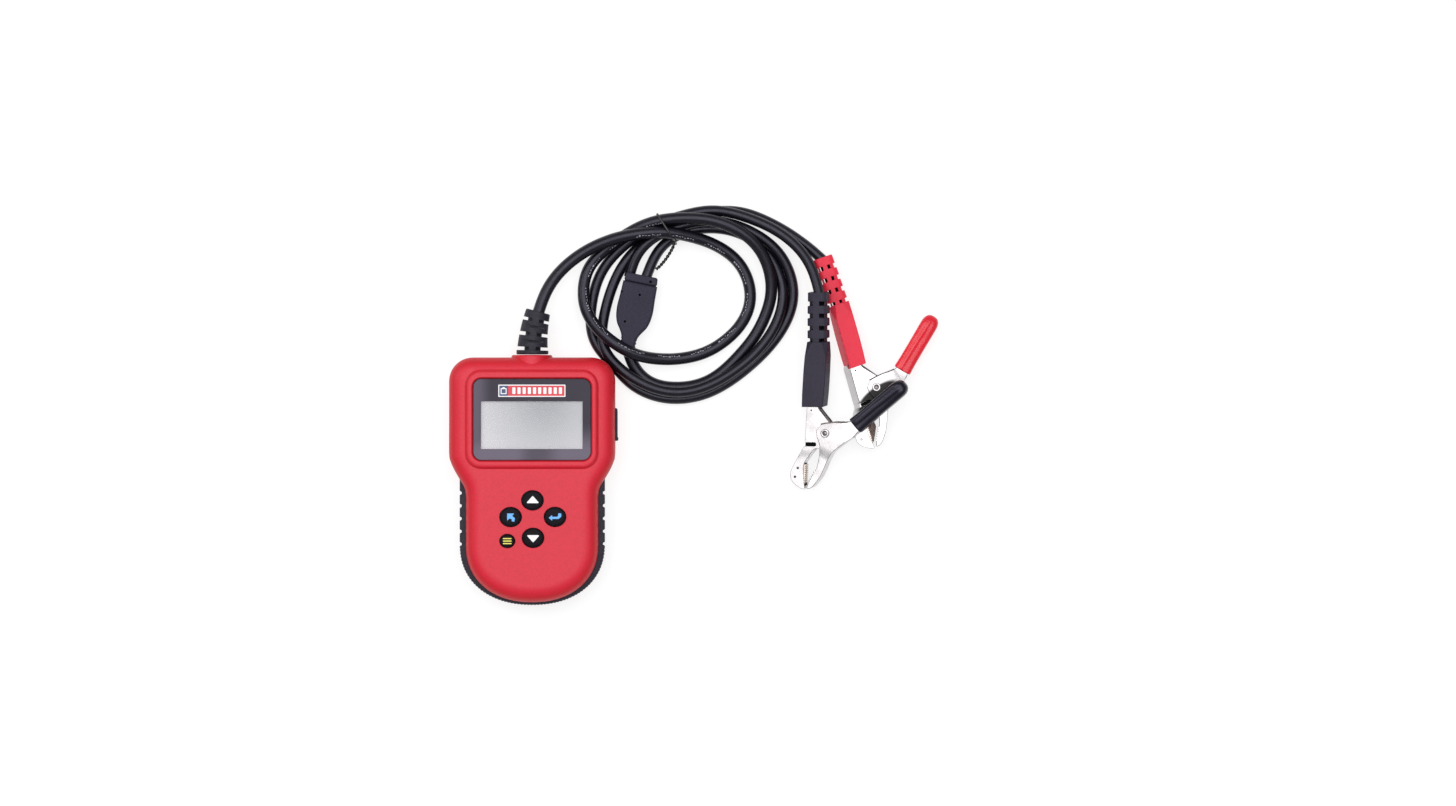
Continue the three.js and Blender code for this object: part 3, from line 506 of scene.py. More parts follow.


# painted shade on the slopes of the red moulding
paint_slope_shade(RED_SHELL, lin(192, 6, 26))
RUBBER = material("black_rubber", lin(41, 37, 48), 0.60, spec=0.27, speck=(2400, 0.35, lin(74, 72, 82)), cloud=(60, 0.9, 1.12), bump=[(2600, 0.4, 0.05)], rough_var=(900, 0.55, 0.72))
LENS_CLEAR = material("lens_clear", (0.9, 0.92, 0.93, 1), 0.06, alpha=0.09, bump=[(120, 0.02, 0.02)])
KEY_BLACK = material("key_black", lin(20, 18, 23), 0.5, spec=0.07, speck=(1500, 0.2, lin(52, 50, 58)), cloud=(90, 0.9, 1.15), bump=[(1400, 0.06, 0.03)], rough_var=(500, 0.42, 0.55))
INK_WHITE = material("ink_white", lin(248, 248, 250), 0.45, cloud=(500, 0.97, 1.0), bump=[(2500, 0.1, 0.02)])
INK_BLUE = material("ink_blue", lin(104, 178, 244), 0.45, cloud=(500, 0.95, 1.03), bump=[(2500, 0.1, 0.02)])
INK_YELLOW = material("ink_yellow", lin(236, 226, 96), 0.45, cloud=(500, 0.95, 1.03), bump=[(2500, 0.1, 0.02)])
INK_RED = material("badge_red", lin(214, 44, 60), 0.35, cloud=(200, 0.96, 1.03), bump=[(2500, 0.06, 0.02)])
INK_NAVY = material("badge_navy", lin(52, 62, 108), 0.35, cloud=(200, 0.95, 1.05), bump=[(2500, 0.06, 0.02)])
RELIEF = material("relief_rubber", lin(29, 27, 40), 0.52, spec=0.36, speck=(2400, 0.3, lin(66, 65, 74)), cloud=(80, 0.88, 1.12), bump=[(2200, 0.4, 0.05)], rough_var=(700, 0.5, 0.68))
CABLE = material("cable_jacket", lin(13, 11, 19), 0.3, spec=0.42, speck=(1900, 0.2, lin(44, 42, 50)), cloud=(70, 0.86, 1.16), bump=[(1500, 0.16, 0.05), (260, 0.10, 0.12)], rough_var=(420, 0.24, 0.38))
for m_ in (CABLE,):
    m_.node_tree.nodes["Principled BSDF"].inputs["Specular Tint"].default_value = (0.86, 0.83, 1.0, 1)
PRINT = material("cable_print", lin(158, 155, 168), 0.5, speck=(5200, 0.9, lin(80, 78, 88)), bump=[(2500, 0.1, 0.02)])
TIE = material("tie_plastic", lin(22, 21, 26), 0.3, spec=0.6, cloud=(200, 0.85, 1.2), bump=[(1200, 0.25, 0.05)], rough_var=(500, 0.22, 0.42))
SPLIT = material("splitter_plastic", lin(48, 44, 60), 0.68, spec=0.22, speck=(2600, 0.3, lin(78, 76, 86)), cloud=(45, 0.94, 1.07), bump=[(2400, 0.42, 0.05)], rough_var=(900, 0.62, 0.76))
# painted shade: near black for the insides of holes, slots, pockets and seams
HOLE = material("hole_dark", lin(8, 8, 10), 0.8, spec=0.1, cloud=(300, 0.8, 1.2))
NICKEL = material("nickel_plate", lin(194, 191, 192), 0.22, metal=1.0, cloud=(60, 0.92, 1.04), bump=[(150, 0.07, 0.12), (1100, 0.05, 0.03)], rough_var=(160, 0.16, 0.34), second=(46, 0.50, 0.86, lin(172, 164, 167)))


def dark_reflection(m, centre, turn, half, tint):
    """Darkens plated metal in a soft oval where it mirrors what lies over it."""
    m = m.copy()
    m.name = "nickel_plate_shaded"
    nt = m.node_tree
    b = nt.nodes["Principled BSDF"]
    src = b.inputs["Base Color"].links[0].from_socket
    tc = nt.nodes.new("ShaderNodeTexCoord")
    mp = nt.nodes.new("ShaderNodeMapping")
    mp.vector_type = "TEXTURE"
    mp.inputs["Location"].default_value = (centre[0] * MM, centre[1] * MM, 0)
    mp.inputs["Rotation"].default_value = (0, 0, turn)
    mp.inputs["Scale"].default_value = (half[0] * MM, half[1] * MM, 1)
    nt.links.new(tc.outputs["Object"], mp.inputs["Vector"])
    g = nt.nodes.new("ShaderNodeTexGradient")
    g.gradient_type = "SPHERICAL"
    nt.links.new(mp.outputs["Vector"], g.inputs["Vector"])
    r = nt.nodes.new("ShaderNodeMapRange")
    r.interpolation_type = "SMOOTHSTEP"
    r.inputs["From Min"].default_value = 0.05
    r.inputs["From Max"].default_value = 0.30
    r.inputs["To Max"].default_value = 0.97
    nt.links.new(g.outputs["Fac"], r.inputs["Value"])
    x = nt.nodes.new("ShaderNodeMix")
    x.data_type = "RGBA"
    nt.links.new(r.outputs["Result"], x.inputs[0])
    nt.links.new(src, x.inputs[6])
    x.inputs[7].default_value = tint
    nt.links.new(x.outputs[2], b.inputs["Base Color"])
    return m


NICKEL_SHADED = dark_reflection(NICKEL, (175.4, 42.1), math.radians(38), (15.5, 6.1), lin(4, 4, 5))
# painted shade: dark metal for the dark lines along edges and the fold, also used for the black clamp's studs
SHADE_METAL = material("painted_shade_metal", lin(62, 56, 56), 0.34, metal=0.85, cloud=(400, 0.6, 1.5), second=(160, 0.5, 0.75, lin(150, 138, 134)), bump=[(900, 0.3, 0.06)], rough_var=(600, 0.25, 0.5))
# painted shade: dark bronze for the shaded inside of the red jaw
JAW_SHADE = material("jaw_interior_shade", lin(74, 58, 54), 0.4, metal=0.6, cloud=(500, 0.6, 1.5), second=(900, 0.6, 0.72, lin(176, 168, 166)), bump=[(900, 0.4, 0.1)], rough_var=(600, 0.25, 0.5))
# painted shade: darker grey for the inside of the eyelet's bore
BORE = material("rivet_bore", lin(132, 126, 126), 0.3, metal=0.9, cloud=(600, 0.6, 1.3), second=(700, 0.5, 0.7, lin(226, 222, 222)), bump=[(900, 0.3, 0.06)], rough_var=(600, 0.2, 0.45))
SPRING = material("spring_steel", lin(150, 148, 150), 0.28, metal=1.0, cloud=(300, 0.8, 1.1), bump=[(900, 0.1, 0.04)], rough_var=(400, 0.2, 0.38))
COPPER = material("contact_plate", lin(206, 194, 184), 0.3, metal=1.0, cloud=(200, 0.8, 1.08), bump=[(700, 0.15, 0.05)], rough_var=(300, 0.22, 0.42), second=(260, 0.6, 0.8, lin(150, 128, 112)))
BOOT_RED = material("boot_red", lin(228, 44, 68), 0.5, spec=0.3, speck=(2200, 0.22, lin(204, 38, 62)), cloud=(40, 0.95, 1.05), bump=[(2000, 0.3, 0.05), (260, 0.06, 0.1)], rough_var=(500, 0.44, 0.58))
BOOT_BLACK = material("boot_black", lin(44, 40, 56), 0.54, spec=0.26, speck=(2200, 0.24, lin(72, 70, 80)), cloud=(40, 0.93, 1.08), bump=[(2000, 0.3, 0.05), (260, 0.06, 0.1)], rough_var=(500, 0.48, 0.62))
SLEEVE_RED = material("sleeve_red", lin(224, 26, 46), 0.22, spec=0.5, cloud=(50, 0.93, 1.06), bump=[(230, 0.08, 0.15), (1300, 0.05, 0.03)], rough_var=(200, 0.2, 0.31))
SLEEVE_BLACK = material("sleeve_black", lin(14, 12, 20), 0.24, spec=0.42, cloud=(50, 0.85, 1.2), bump=[(230, 0.10, 0.15), (1300, 0.05, 0.03)], rough_var=(200, 0.2, 0.31))
SLEEVE_BLACK.node_tree.nodes["Principled BSDF"].inputs["Specular Tint"].default_value = (0.80, 0.77, 1.0, 1)
PCB = material("board_green", lin(22, 92, 52), 0.4, cloud=(120, 0.85, 1.15), second=(500, 0.55, 0.6, lin(40, 128, 76)), bump=[(800, 0.2, 0.05)])
CHIP = material("chip_black", lin(28, 28, 31), 0.5, speck=(2400, 0.4, lin(52, 52, 56)), bump=[(2000, 0.3, 0.03)])
CERAMIC = material("ceramic_white", lin(228, 225, 212), 0.7, speck=(1500, 0.3, lin(200, 196, 182)), bump=[(1500, 0.4, 0.06)])
WHITE_PLASTIC = material("white_plastic", lin(222, 221, 214), 0.4, cloud=(100, 0.96, 1.02), bump=[(1600, 0.1, 0.03)])
STEEL = material("screw_steel", lin(150, 150, 154), 0.3, metal=1.0, cloud=(300, 0.85, 1.1), bump=[(900, 0.12, 0.04)], rough_var=(400, 0.22, 0.42))
SILICONE = material("grey_silicone", lin(150, 150, 154), 0.55, cloud=(100, 0.95, 1.04), bump=[(1500, 0.2, 0.04)])


def lcd_material():
    """Reflective display: grey, with a painted reflection that makes it darker above its middle and lighter to its
    lower corners, and a fine pixel grain.
    """
    m = material("lcd_glass", lin(190, 192, 196), 0.4, spec=0.2)
    nt = m.node_tree
    b = nt.nodes["Principled BSDF"]
    tc = nt.nodes.new("ShaderNodeTexCoord")
    mp = nt.nodes.new("ShaderNodeMapping")
    mp.inputs["Location"].default_value = (-0.0066 / 0.055, -0.0390 / 0.052, 0)
    mp.inputs["Scale"].default_value = (1 / 0.055, 1 / 0.052, 0)
    nt.links.new(tc.outputs["Object"], mp.inputs["Vector"])
    g = nt.nodes.new("ShaderNodeTexGradient")
    g.gradient_type = "SPHERICAL"
    nt.links.new(mp.outputs["Vector"], g.inputs["Vector"])
    n = nt.nodes.new("ShaderNodeTexNoise")
    n.inputs["Scale"].default_value = 2400
    nt.links.new(tc.outputs["Object"], n.inputs["Vector"])
    s = nt.nodes.new("ShaderNodeMath")
    s.operation = "MULTIPLY_ADD"
    s.inputs[1].default_value = 0.16
    nt.links.new(n.outputs["Fac"], s.inputs[0])
    nt.links.new(g.outputs["Fac"], s.inputs[2])
    # painted reflection: lighter grey away from the top middle, darker grey towards it
    x = nt.nodes.new("ShaderNodeMix")
    x.data_type = "RGBA"
    nt.links.new(s.outputs[0], x.inputs[0])
    x.inputs[6].default_value = lin(236, 233, 239)
    x.inputs[7].default_value = lin(158, 159, 165)
    nt.links.new(x.outputs[2], b.inputs["Base Color"])
    return m


def lens_material():
    """Printed lens border: dark, with a painted sheen, paler along its lower and left sides."""
    m = material("lens_print", lin(48, 44, 57), 0.22, spec=0.16, bump=[(120, 0.03, 0.03)], rough_var=(300, 0.13, 0.2))
    nt = m.node_tree
    b = nt.nodes["Principled BSDF"]
    tc = nt.nodes.new("ShaderNodeTexCoord")
    sp = nt.nodes.new("ShaderNodeSeparateXYZ")
    nt.links.new(tc.outputs["Object"], sp.inputs[0])

    def ramp(axis, a, z, top):
        r = nt.nodes.new("ShaderNodeMapRange")
        r.interpolation_type = "SMOOTHSTEP"
        r.inputs["From Min"].default_value = a
        r.inputs["From Max"].default_value = z
        r.inputs["To Max"].default_value = top
        nt.links.new(sp.outputs[axis], r.inputs["Value"])
        return r.outputs["Result"]

    def math_(op, p, q):
        k = nt.nodes.new("ShaderNodeMath")
        k.operation = op
        for i, v in enumerate((p, q)):
            if isinstance(v, float):
                k.inputs[i].default_value = v
            else:
                nt.links.new(v, k.inputs[i])
        return k.outputs[0]

    # painted sheen: paler towards the lower and left sides
    low = ramp(1, 0.030, 0.0135, 0.92)
    left = ramp(0, -0.0195, -0.0285, 0.62)
    dip = math_("SUBTRACT", ramp(0, -0.009, 0.0005, 0.55), ramp(0, 0.005, 0.0165, 0.55))
    low = math_("MULTIPLY", low, math_("SUBTRACT", 1.0, dip))
    n = nt.nodes.new("ShaderNodeTexNoise")
    n.inputs["Scale"].default_value = 60
    nt.links.new(tc.outputs["Object"], n.inputs["Vector"])
    f = math_("ADD", math_("MAXIMUM", low, left), math_("MULTIPLY", n.outputs["Fac"], 0.08))
    x = nt.nodes.new("ShaderNodeMix")
    x.data_type = "RGBA"
    nt.links.new(f, x.inputs[0])
    x.inputs[6].default_value = lin(46, 42, 55)
    x.inputs[7].default_value = lin(106, 98, 114)
    nt.links.new(x.outputs[2], b.inputs["Base Color"])
    return m


LENS_DARK = lens_material()
LCD_GLASS = lcd_material()

# ------------------------------------------------------------------ handset
GRIP_HALF_W, BODY_HALF_W, BODY_TOP_Y, CORNER_R = 33.6, 42.1, 62.2, 12.0
TAIL_Y, TAIL_LEN, SPLIT_Z, CABLE_Z = -33.0, 29.0, 12.35, 12.4
SHOULDER = [[33.6, -33.0], [33.6, -20], [33.62, -8.2], [34.2, -4.4], [35.5, -1.6], [37.8, 2.2], [39.9, 6.0], [41.4, 9.6], [42.1, 13.5], [42.1, 30], [42.1, 50.2]]


def tail(half, length, n):
    a = np.linspace(math.pi, 2 * math.pi, n)
    c, s = np.cos(a), np.sin(a)
    return np.column_stack([np.sign(c) * half * np.abs(c) ** (2 / 2.2), TAIL_Y - length * np.abs(s) ** (2 / 2.2)])


def body_outline():
    side = catmull([[p[0], p[1], 0] for p in SHOULDER], 1.6)[:, :2]
    a = np.linspace(0, math.pi / 2, 15)[1:]
    corner = np.column_stack([BODY_HALF_W - CORNER_R + CORNER_R * np.cos(a), BODY_TOP_Y - CORNER_R + CORNER_R * np.sin(a)])
    right = np.vstack([side[1:], corner])
    top = np.column_stack([np.linspace(28, -28, 29), np.full(29, BODY_TOP_Y)])
    left = right[::-1] * [-1, 1]
    t = tail(GRIP_HALF_W, TAIL_LEN, 91)
    t = t[(t[:, 1] < TAIL_Y - 0.35)]
    ends = [[-GRIP_HALF_W, TAIL_Y]], [[GRIP_HALF_W, TAIL_Y]]
    return np.vstack([ends[0], t, ends[1], right, top, left])


OUT = body_outline()
RIM_W, RIM_H, RIM_N = 8.6, 7.4, 2.15


def rim(steps):
    """(inset, height) pairs up the rounded rim of the front cover."""
    rows = []
    for k in range(steps + 1):
        a = math.pi / 2 * k / steps
        rows.append((RIM_W * (1 - abs(math.cos(a)) ** (2 / RIM_N)), 17.6 + RIM_H * abs(math.sin(a)) ** (2 / RIM_N)))
    return rows


def front_shell():
    rings = [lift(inset(OUT, 0.4), SPLIT_Z + 0.12), lift(inset(OUT, 0.1), SPLIT_Z + 0.3), lift(OUT, SPLIT_Z + 0.65), lift(OUT, 15)]
    rings += [lift(inset(OUT, d), z) for d, z in rim(13)]
    o = raw("front_shell", loft(rings))
    # collar of the cable outlet
    prof = [(0, 53), (10.4, 53), (10.4, 62.5)] + [(10.4 - 1.0 * (1 - math.cos(a)), 62.5 + 1.0 * math.sin(a)) for a in np.linspace(0.3, math.pi / 2, 5)] + [(0, 63.5)]
    v, f = lathe(prof, 72, axis="y")
    v = v * [1, 1, 1.08] + [-0.2, 0, CABLE_Z]
    keep = slab(roundrect(-12, 11.6, 52, 66, 0.5), SPLIT_Z + 0.12, 40)
    collar = raw("collar", (v, f))
    combine(collar, "INTERSECT", raw("k", keep))
    combine(o, "UNION", collar)
    # raised ring round the display
    base = roundrect(-34.2, 34.2, 5.2, 56.4, 8.6, 12)
    rows = [(0.4, 22.0), (0.0, 24.4), (0.0, 24.9), (0.3, 25.0), (0.6, 25.16), (0.85, 25.42), (1.1, 25.74), (1.4, 26.02), (1.8, 26.22), (2.3, 26.35), (2.8, 26.4)]
    ring = raw("ring", loft([lift(inset(base, d), z) for d, z in rows]))
    combine(o, "UNION", ring)
    lens = roundrect(-29.85, 30.15, 9.95, 51.55, 4.4, 10)
    cut(o,
        loft([lift(inset(lens, 0), 23.2), lift(lens, 25.6), lift(inset(lens, -0.18), 25.95), lift(inset(lens, -0.5), 26.25), lift(inset(lens, -0.9), 26.5), lift(inset(lens, -0.9), 28)]),
        slab(roundrect(-26.9, 27.0, 14.6, 41.2, 1.2), 12, 30))
    for x, y, r in KEYS.values():
        cut(o, oval(lathe([(0, 14.0), (r + 0.28, 14.0), (r + 0.28, 24.85), (r + 0.32, 24.95), (r + 0.4, 25.0), (r + 0.4, 26.0), (0, 26.0)], 56, (x, y)), y))
    cut(o, port_slot())
    return shade(o, 32)


def port_slot():
    return joined(slab(roundrect(40.6, 47, 19.4, 37.0, 0.8, 4), 9.3, 17.7, 0.3, 0.3, 2))


def rear_shell():
    rows = [(4.6, 0.0)]
    for k in range(1, 9):
        a = math.pi / 2 * k / 8
        rows.append((4.6 * (1 - abs(math.sin(a)) ** (2 / 2.2)), 5.4 * (1 - abs(math.cos(a)) ** (2 / 2.2))))
    rings = [lift(inset(OUT, d), z) for d, z in rows]
    rings += [lift(OUT, SPLIT_Z - 0.65), lift(inset(OUT, 0.1), SPLIT_Z - 0.3), lift(inset(OUT, 0.4), SPLIT_Z - 0.12)]
    o = raw("rear_shell", loft(rings))
    prof = [(0, 53), (10.4, 53), (10.4, 62.5)] + [(10.4 - 1.0 * (1 - math.cos(a)), 62.5 + 1.0 * math.sin(a)) for a in np.linspace(0.3, math.pi / 2, 5)] + [(0, 63.5)]
    v, f = lathe(prof, 72, axis="y")
    v = v + [-0.2, 0, CABLE_Z]
    collar = raw("collar", (v, f))
    combine(collar, "INTERSECT", raw("k", slab(roundrect(-12, 11.6, 52, 66, 0.5), 1.0, SPLIT_Z - 0.12)))
    combine(o, "UNION", collar)
    for x, y in ((-34.3, 52.6), (34.3, 52.6), (-25, -38), (25, -38)):
        cut(o, lathe([(0, -1), (3.2, -1), (3.2, 0), (2.95, 0.25), (2.95, 3.4), (0, 3.4)], 40, (x, y)))
    # blank recess for a label, and grip ribs moulded across the tail
    cut(o, slab(roundrect(-24, 24, -8, 34, 3), -1, 0.35))
    for k in range(5):
        cut(o, slab(roundrect(-15 + 1.2 * k, 15 - 1.2 * k, -22.0 - 3.2 * k, -20.8 - 3.2 * k, 0.55), -1, 0.5))
    cut(o, port_slot())
    return shade(o, 32)


KEYS = {"up": (0.4, -10.2, 5.42), "down": (0.65, -29.2, 5.42), "back": (-10.7, -18.65, 5.42), "enter": (11.8, -18.6, 5.42), "fn": (-12.35, -30.8, 3.75)}
KEY_OVAL = 0.9


def oval(vf, cy):
    """Squeezes a round body into an oval about its own middle."""
    v = np.array(vf[0], float)
    v[:, 1] = cy + KEY_OVAL * (v[:, 1] - cy)
    return v, vf[1]

dress(front_shell(), RED_SHELL, replaces=["front_cover"])
dress(rear_shell(), RED_SHELL, replaces=["rear_cover"])


def bumper():
    """Rubber band moulded round the lower half, notched down its sides and finely ribbed round its tail."""
    half, length = 36.8, 30.5
    right = [[36.8, y] for y in np.linspace(TAIL_Y, 2.6, 24)]
    t = tail(half, length, 120)
    left = [[-p[0], p[1]] for p in right[::-1]]
    line = np.vstack([left[:-1], t, right[1:]])
    line = np.column_stack([line, np.zeros(len(line))])
    line = catmull(line[::2], 0.30)[:, :2]
    body = OUT
    grooves = [-6.6, -13.1, -19.6, -26.1, -32.5]
    d = np.gradient(line, axis=0)
    d /= np.linalg.norm(d, axis=1)[:, None]
    nrm = np.column_stack([d[:, 1], -d[:, 0]])  # outwards: the line runs down the left side and up the right
    s = np.concatenate([[0], np.cumsum(np.linalg.norm(np.diff(line, axis=0), axis=1))])
    prof = [(0.0, 3.3), (0.25, 2.75), (0.8, 2.45), (1.4, 2.4)]  # (inset from the outside, z)
    rings = []
    for k in range(len(line)):
        p, n = line[k], nrm[k]
        y = p[1]
        dip = 0.0
        if y > -34.5:
            for g in grooves:
                w = abs(y - g)
                dip = max(dip, 1.0 * max(0.0, min(1.0, (0.95 - w) / 0.35)))
        else:
            ph = (s[k] % 1.7) / 1.7
            dip = 0.26 * (0.5 + 0.5 * math.cos(2 * math.pi * ph)) ** 2
        # depth to the shell along the inward normal
        j = np.argmin(np.linalg.norm(body - p, axis=1))
        q0 = body[j]
        depth = float(np.linalg.norm(q0 - p))
        if (q0 - p) @ (-n) < 0:
            depth = 0.0
        depth = max(0.05, depth + 0.25)
        dip = min(dip, depth * 0.6)
        o = [(depth, 2.4), (min(depth, 1.5), 2.4), (min(depth, 0.7), 2.6), (min(depth, 0.2), 3.2), (0, 4.2)]
        o = [(a + dip * (1 - min(1.0, a / depth)), z) for a, z in o]
        rows = o + [(dip, 5.2), (dip, 9.8), (dip, 14.4), (dip, 15.4), (dip + min(depth - dip, 0.2), 16.35), (dip + min(depth - dip, 0.6), 16.95), (dip + min(depth - dip, 1.2), 17.2), (depth, 17.2)]
        rings.append(np.array([[p[0] - n[0] * a, p[1] - n[1] * a, z] for a, z in rows]))
    return rings


def bumper_piece():
    o = raw("grip_band", loft(bumper()))
    return shade(o, 38)


dress(bumper_piece(), RUBBER, replaces=["grip_bumper"])

# display: printed border, clear window, badge and the panel under it
lens_o = roundrect(-29.6, 29.9, 10.2, 51.3, 4.1, 10)
win = roundrect(-25.7, 25.8, 15.8, 40.0, 0.35, 3)
o = raw("lens_border", slab(lens_o, 23.5, 25.5, 0.1, 0.28, 3))
cut(o, slab(win, 20, 30))
dress(shade(o, 30), LENS_DARK, replaces=["display_lens"])
o = raw("lens_window", slab(inset(ccw(win), 0.02), 24.9, 25.42))
dress(shade(o, 30), LENS_CLEAR)
o = raw("lcd_face", slab(roundrect(-28.6, 28.6, 13, 43, 0.6, 3), 20.2, 24.3, 0, 0.1, 2))
dress(shade(o, 30), LCD_GLASS, replaces=["lcd_panel"])
# blank plate above the window, with a plain battery mark and level bars
bx0, bx1, by0, by1 = -16.9, 17.1, 42.2, 48.4
o = raw("badge_border", slab(roundrect(bx0, bx1, by0, by1, 0.25, 3), 25.45, 25.56, 0, 0.04, 2))
dress(shade(o, 30), INK_WHITE)
o = raw("badge_field", slab(roundrect(bx0 + 4.9, bx1 - 0.5, by0 + 0.5, by1 - 0.5, 0.1, 2), 25.5, 25.6, 0, 0.03, 2))
dress(shade(o, 30), INK_RED)
o = raw("badge_square", slab(roundrect(bx0 + 0.5, bx0 + 4.9, by0 + 0.5, by1 - 0.5, 0.1, 2), 25.5, 25.6, 0, 0.03, 2))
dress(shade(o, 30), INK_NAVY)
marks = []
cx = bx0 + 2.7
frame_o, frame_i = roundrect(cx - 1.5, cx + 1.5, 43.6, 46.6, 0.25, 3), roundrect(cx - 1.05, cx + 1.05, 44.05, 46.15, 0.1, 3)
o = raw("badge_marks", slab(frame_o, 25.58, 25.64))
cut(o, slab(frame_i, 25, 26))
parts = [slab(roundrect(cx - 0.6, cx + 0.6, 46.55, 47.1, 0.1, 2), 25.58, 25.64)]
for k in range(10):
    x = bx0 + 7.1 + 2.62 * k
    parts.append(slab(roundrect(x, x + 1.55, 43.7, 47.0, 0.3, 3), 25.58, 25.64, 0, 0.02, 2))
bars = raw("b", joined(*parts))
for src in (bars,):
    bm = bmesh.new()
    bm.from_mesh(o.data)
    bm.from_mesh(src.data)
    bm.to_mesh(o.data)
    bm.free()
    bpy.data.objects.remove(src)
dress(shade(o, 30), INK_WHITE)


def dome(r, q):
    """Height of a key's top at a distance q from its middle."""
    return 26.22 - 0.26 * (q / (0.86 * r)) ** 2.4


for name, (x, y, r) in KEYS.items():
    prof = [(0, 19.6), (r - 0.5, 19.6), (r, 20.0), (r, 25.05)]
    prof += [(r - 0.75 * (1 - math.cos(a)), 25.05 + 0.78 * math.sin(a)) for a in np.linspace(0.25, math.pi / 2 * 0.86, 6)]
    e = prof[-1]
    prof += [(q, dome(r, q)) for q in np.linspace(min(e[0] - 0.25, 0.86 * r), 0.01, 9)[:-1]]
    prof.append((0, 26.22))
    o = raw("keycap_" + name, oval(lathe(prof, 64, (x, y)), y))
    body = f"key_{name}_body"
    dress(shade(o, 40), KEY_BLACK, body, ["key_" + name])


def symbol(name, key, outlines, mat):
    x, y, r = KEYS[key]
    parts = []
    for q in outlines:
        q = ccw(q)
        parts.append(slab(q + [x, y], 25.7, 26.26, 0, 0.03, 1))
    o = raw(name, joined(*parts))
    dress(shade(o, 35, False), mat, f"key_{key}_body")


tri = fillet([(-3.6, -1.75), (3.6, -1.75), (0, 2.6)], 0.4, 4)
tri = tri * [0.93, 0.86]
symbol("mark_up", "up", [tri + [0.15, 0.1]], INK_WHITE)
symbol("mark_down", "down", [tri * [1, -1] + [0.1, -0.1]], INK_WHITE)
arrow = fillet([(-2.0, 1.9), (1.9, 1.9), (0.75, 0.6), (2.25, -0.55), (1.9, -2.45), (0.45, -2.2), (0.5, -1.15), (-0.65, -0.75), (-2.0, -1.9)], 0.16, 2)
symbol("mark_back", "back", [arrow * [0.93, 0.97] + [0.15, 0.0]], INK_BLUE)
enter = fillet([(-3.1, -0.55), (-1.35, 0.95), (-1.35, 0.0), (0.9, 0.0), (1.5, 0.55), (1.5, 1.75), (3.0, 1.75), (3.0, 0.1), (1.75, -1.1), (-1.35, -1.1), (-1.35, -2.05)], 0.16, 2)
symbol("mark_enter", "enter", [enter * [1.05, 1.0] + [0.05, 0.1]], INK_BLUE)
bars = [roundrect(-2.2, 2.2, h - 0.3, h + 0.3, 0.28, 3) for h in (1.25, 0.0, -1.25)]
symbol("mark_menu", "fn", bars, INK_YELLOW)

# side port cover: rubber flap on its own hinge, with a finger tab at its lower end
flap = fillet([(41.0, 19.9, 0.3), (43.55, 19.9, 0.5), (43.75, 20.9, 0.6), (43.35, 22.3, 0.8), (43.35, 34.6, 0.8), (43.2, 36.3, 1.0), (42.2, 36.6, 0.9), (41.0, 35.8, 0.5)], 0.3, 5)
o = raw("port_flap_rubber", slab(flap, 9.65, 17.35, 0.45, 0.45, 4))
cut(o, *[slab(roundrect(43.15, 44.5, 21.2 + 0.001, 21.7, 0.1, 2) + [0, 0.0], 10.6, 16.4)])
add(o, slab(roundrect(39.95, 41.4, 24.0, 32.4, 0.6, 4), 12.35, 16.05, 0.3, 0.3, 2))
dress(shade(o, 35), RUBBER, "port_flap", ["port_cover"])

# ------------------------------------------------------------------ cable outlet
R_Y, R_LEN, R_LEAN = 63.8, 21.8, 2.95


def relief_at(t):
    c = np.array([0.05 + R_LEAN * t * t, R_Y + R_LEN * t, CABLE_Z])
    d = np.array([2 * R_LEAN * t, R_LEN, 0.0])
    d /= np.linalg.norm(d)
    return c, d, np.array([d[1], -d[0], 0.0]), np.array([0, 0, 1.0])


def relief_block(t0, t1, u0, u1, v0, v1):
    rings = []
    for t in (t0, t1):
        c, d, u, v = relief_at(t)
        rings.append(np.array([c + u * a + v * b for a, b in ((u0, v0), (u1, v0), (u1, v1), (u0, v1))]))
    return loft(rings)


def relief_piece():
    rings = []
    n = 72
    a = np.arange(n) * 2 * math.pi / n
    shape = [(0.0, 6.0), (0.0, 7.7), (0.012, 8.05), (0.03, 8.15), (0.09, 8.1), (0.1, 7.9)]
    shape += [(t, 8.0 - 1.75 * t) for t in np.linspace(0.12, 0.975, 30)]
    shape += [(0.99, 6.1), (1.0, 5.8), (1.0, 3.2)]
    for t, r in shape:
        c, d, u, v = relief_at(t)
        rings.append(c + r * (np.cos(a)[:, None] * u + np.sin(a)[:, None] * v))
    o = raw("strain_relief_rubber", loft(rings))
    y = lambda q: (q - R_Y) / R_LEN
    cuts = []
    for y0, y1 in ((65.85, 67.55), (73.1, 74.8), (80.3, 81.75)):
        for s in (1, -1):
            cuts.append(relief_block(y(y0), y(y1), *sorted((s * 1.75, s * 12)), -12, 12))
    for yc, h in ((70.35, 0.62), (77.75, 0.62)):
        for s in (1, -1):
            cuts.append(relief_block(y(yc - h), y(yc + h), -5.5, 5.5, *sorted((s * 4.6, s * 12))))
    cut(o, *cuts)
    bevel(o, 0.22, 2, 40)
    rings = []
    for t in np.linspace(0.02, 0.99, 30):
        c, d, u, v = relief_at(t)
        rings.append(c + 4.15 * (np.cos(a)[:, None] * u + np.sin(a)[:, None] * v))
    core = shade(raw("strain_relief_core", loft(rings)), 40)
    dress(core, RELIEF)
    return shade(o, 32)


relief = dress(relief_piece(), RELIEF, replaces=["strain_relief"])

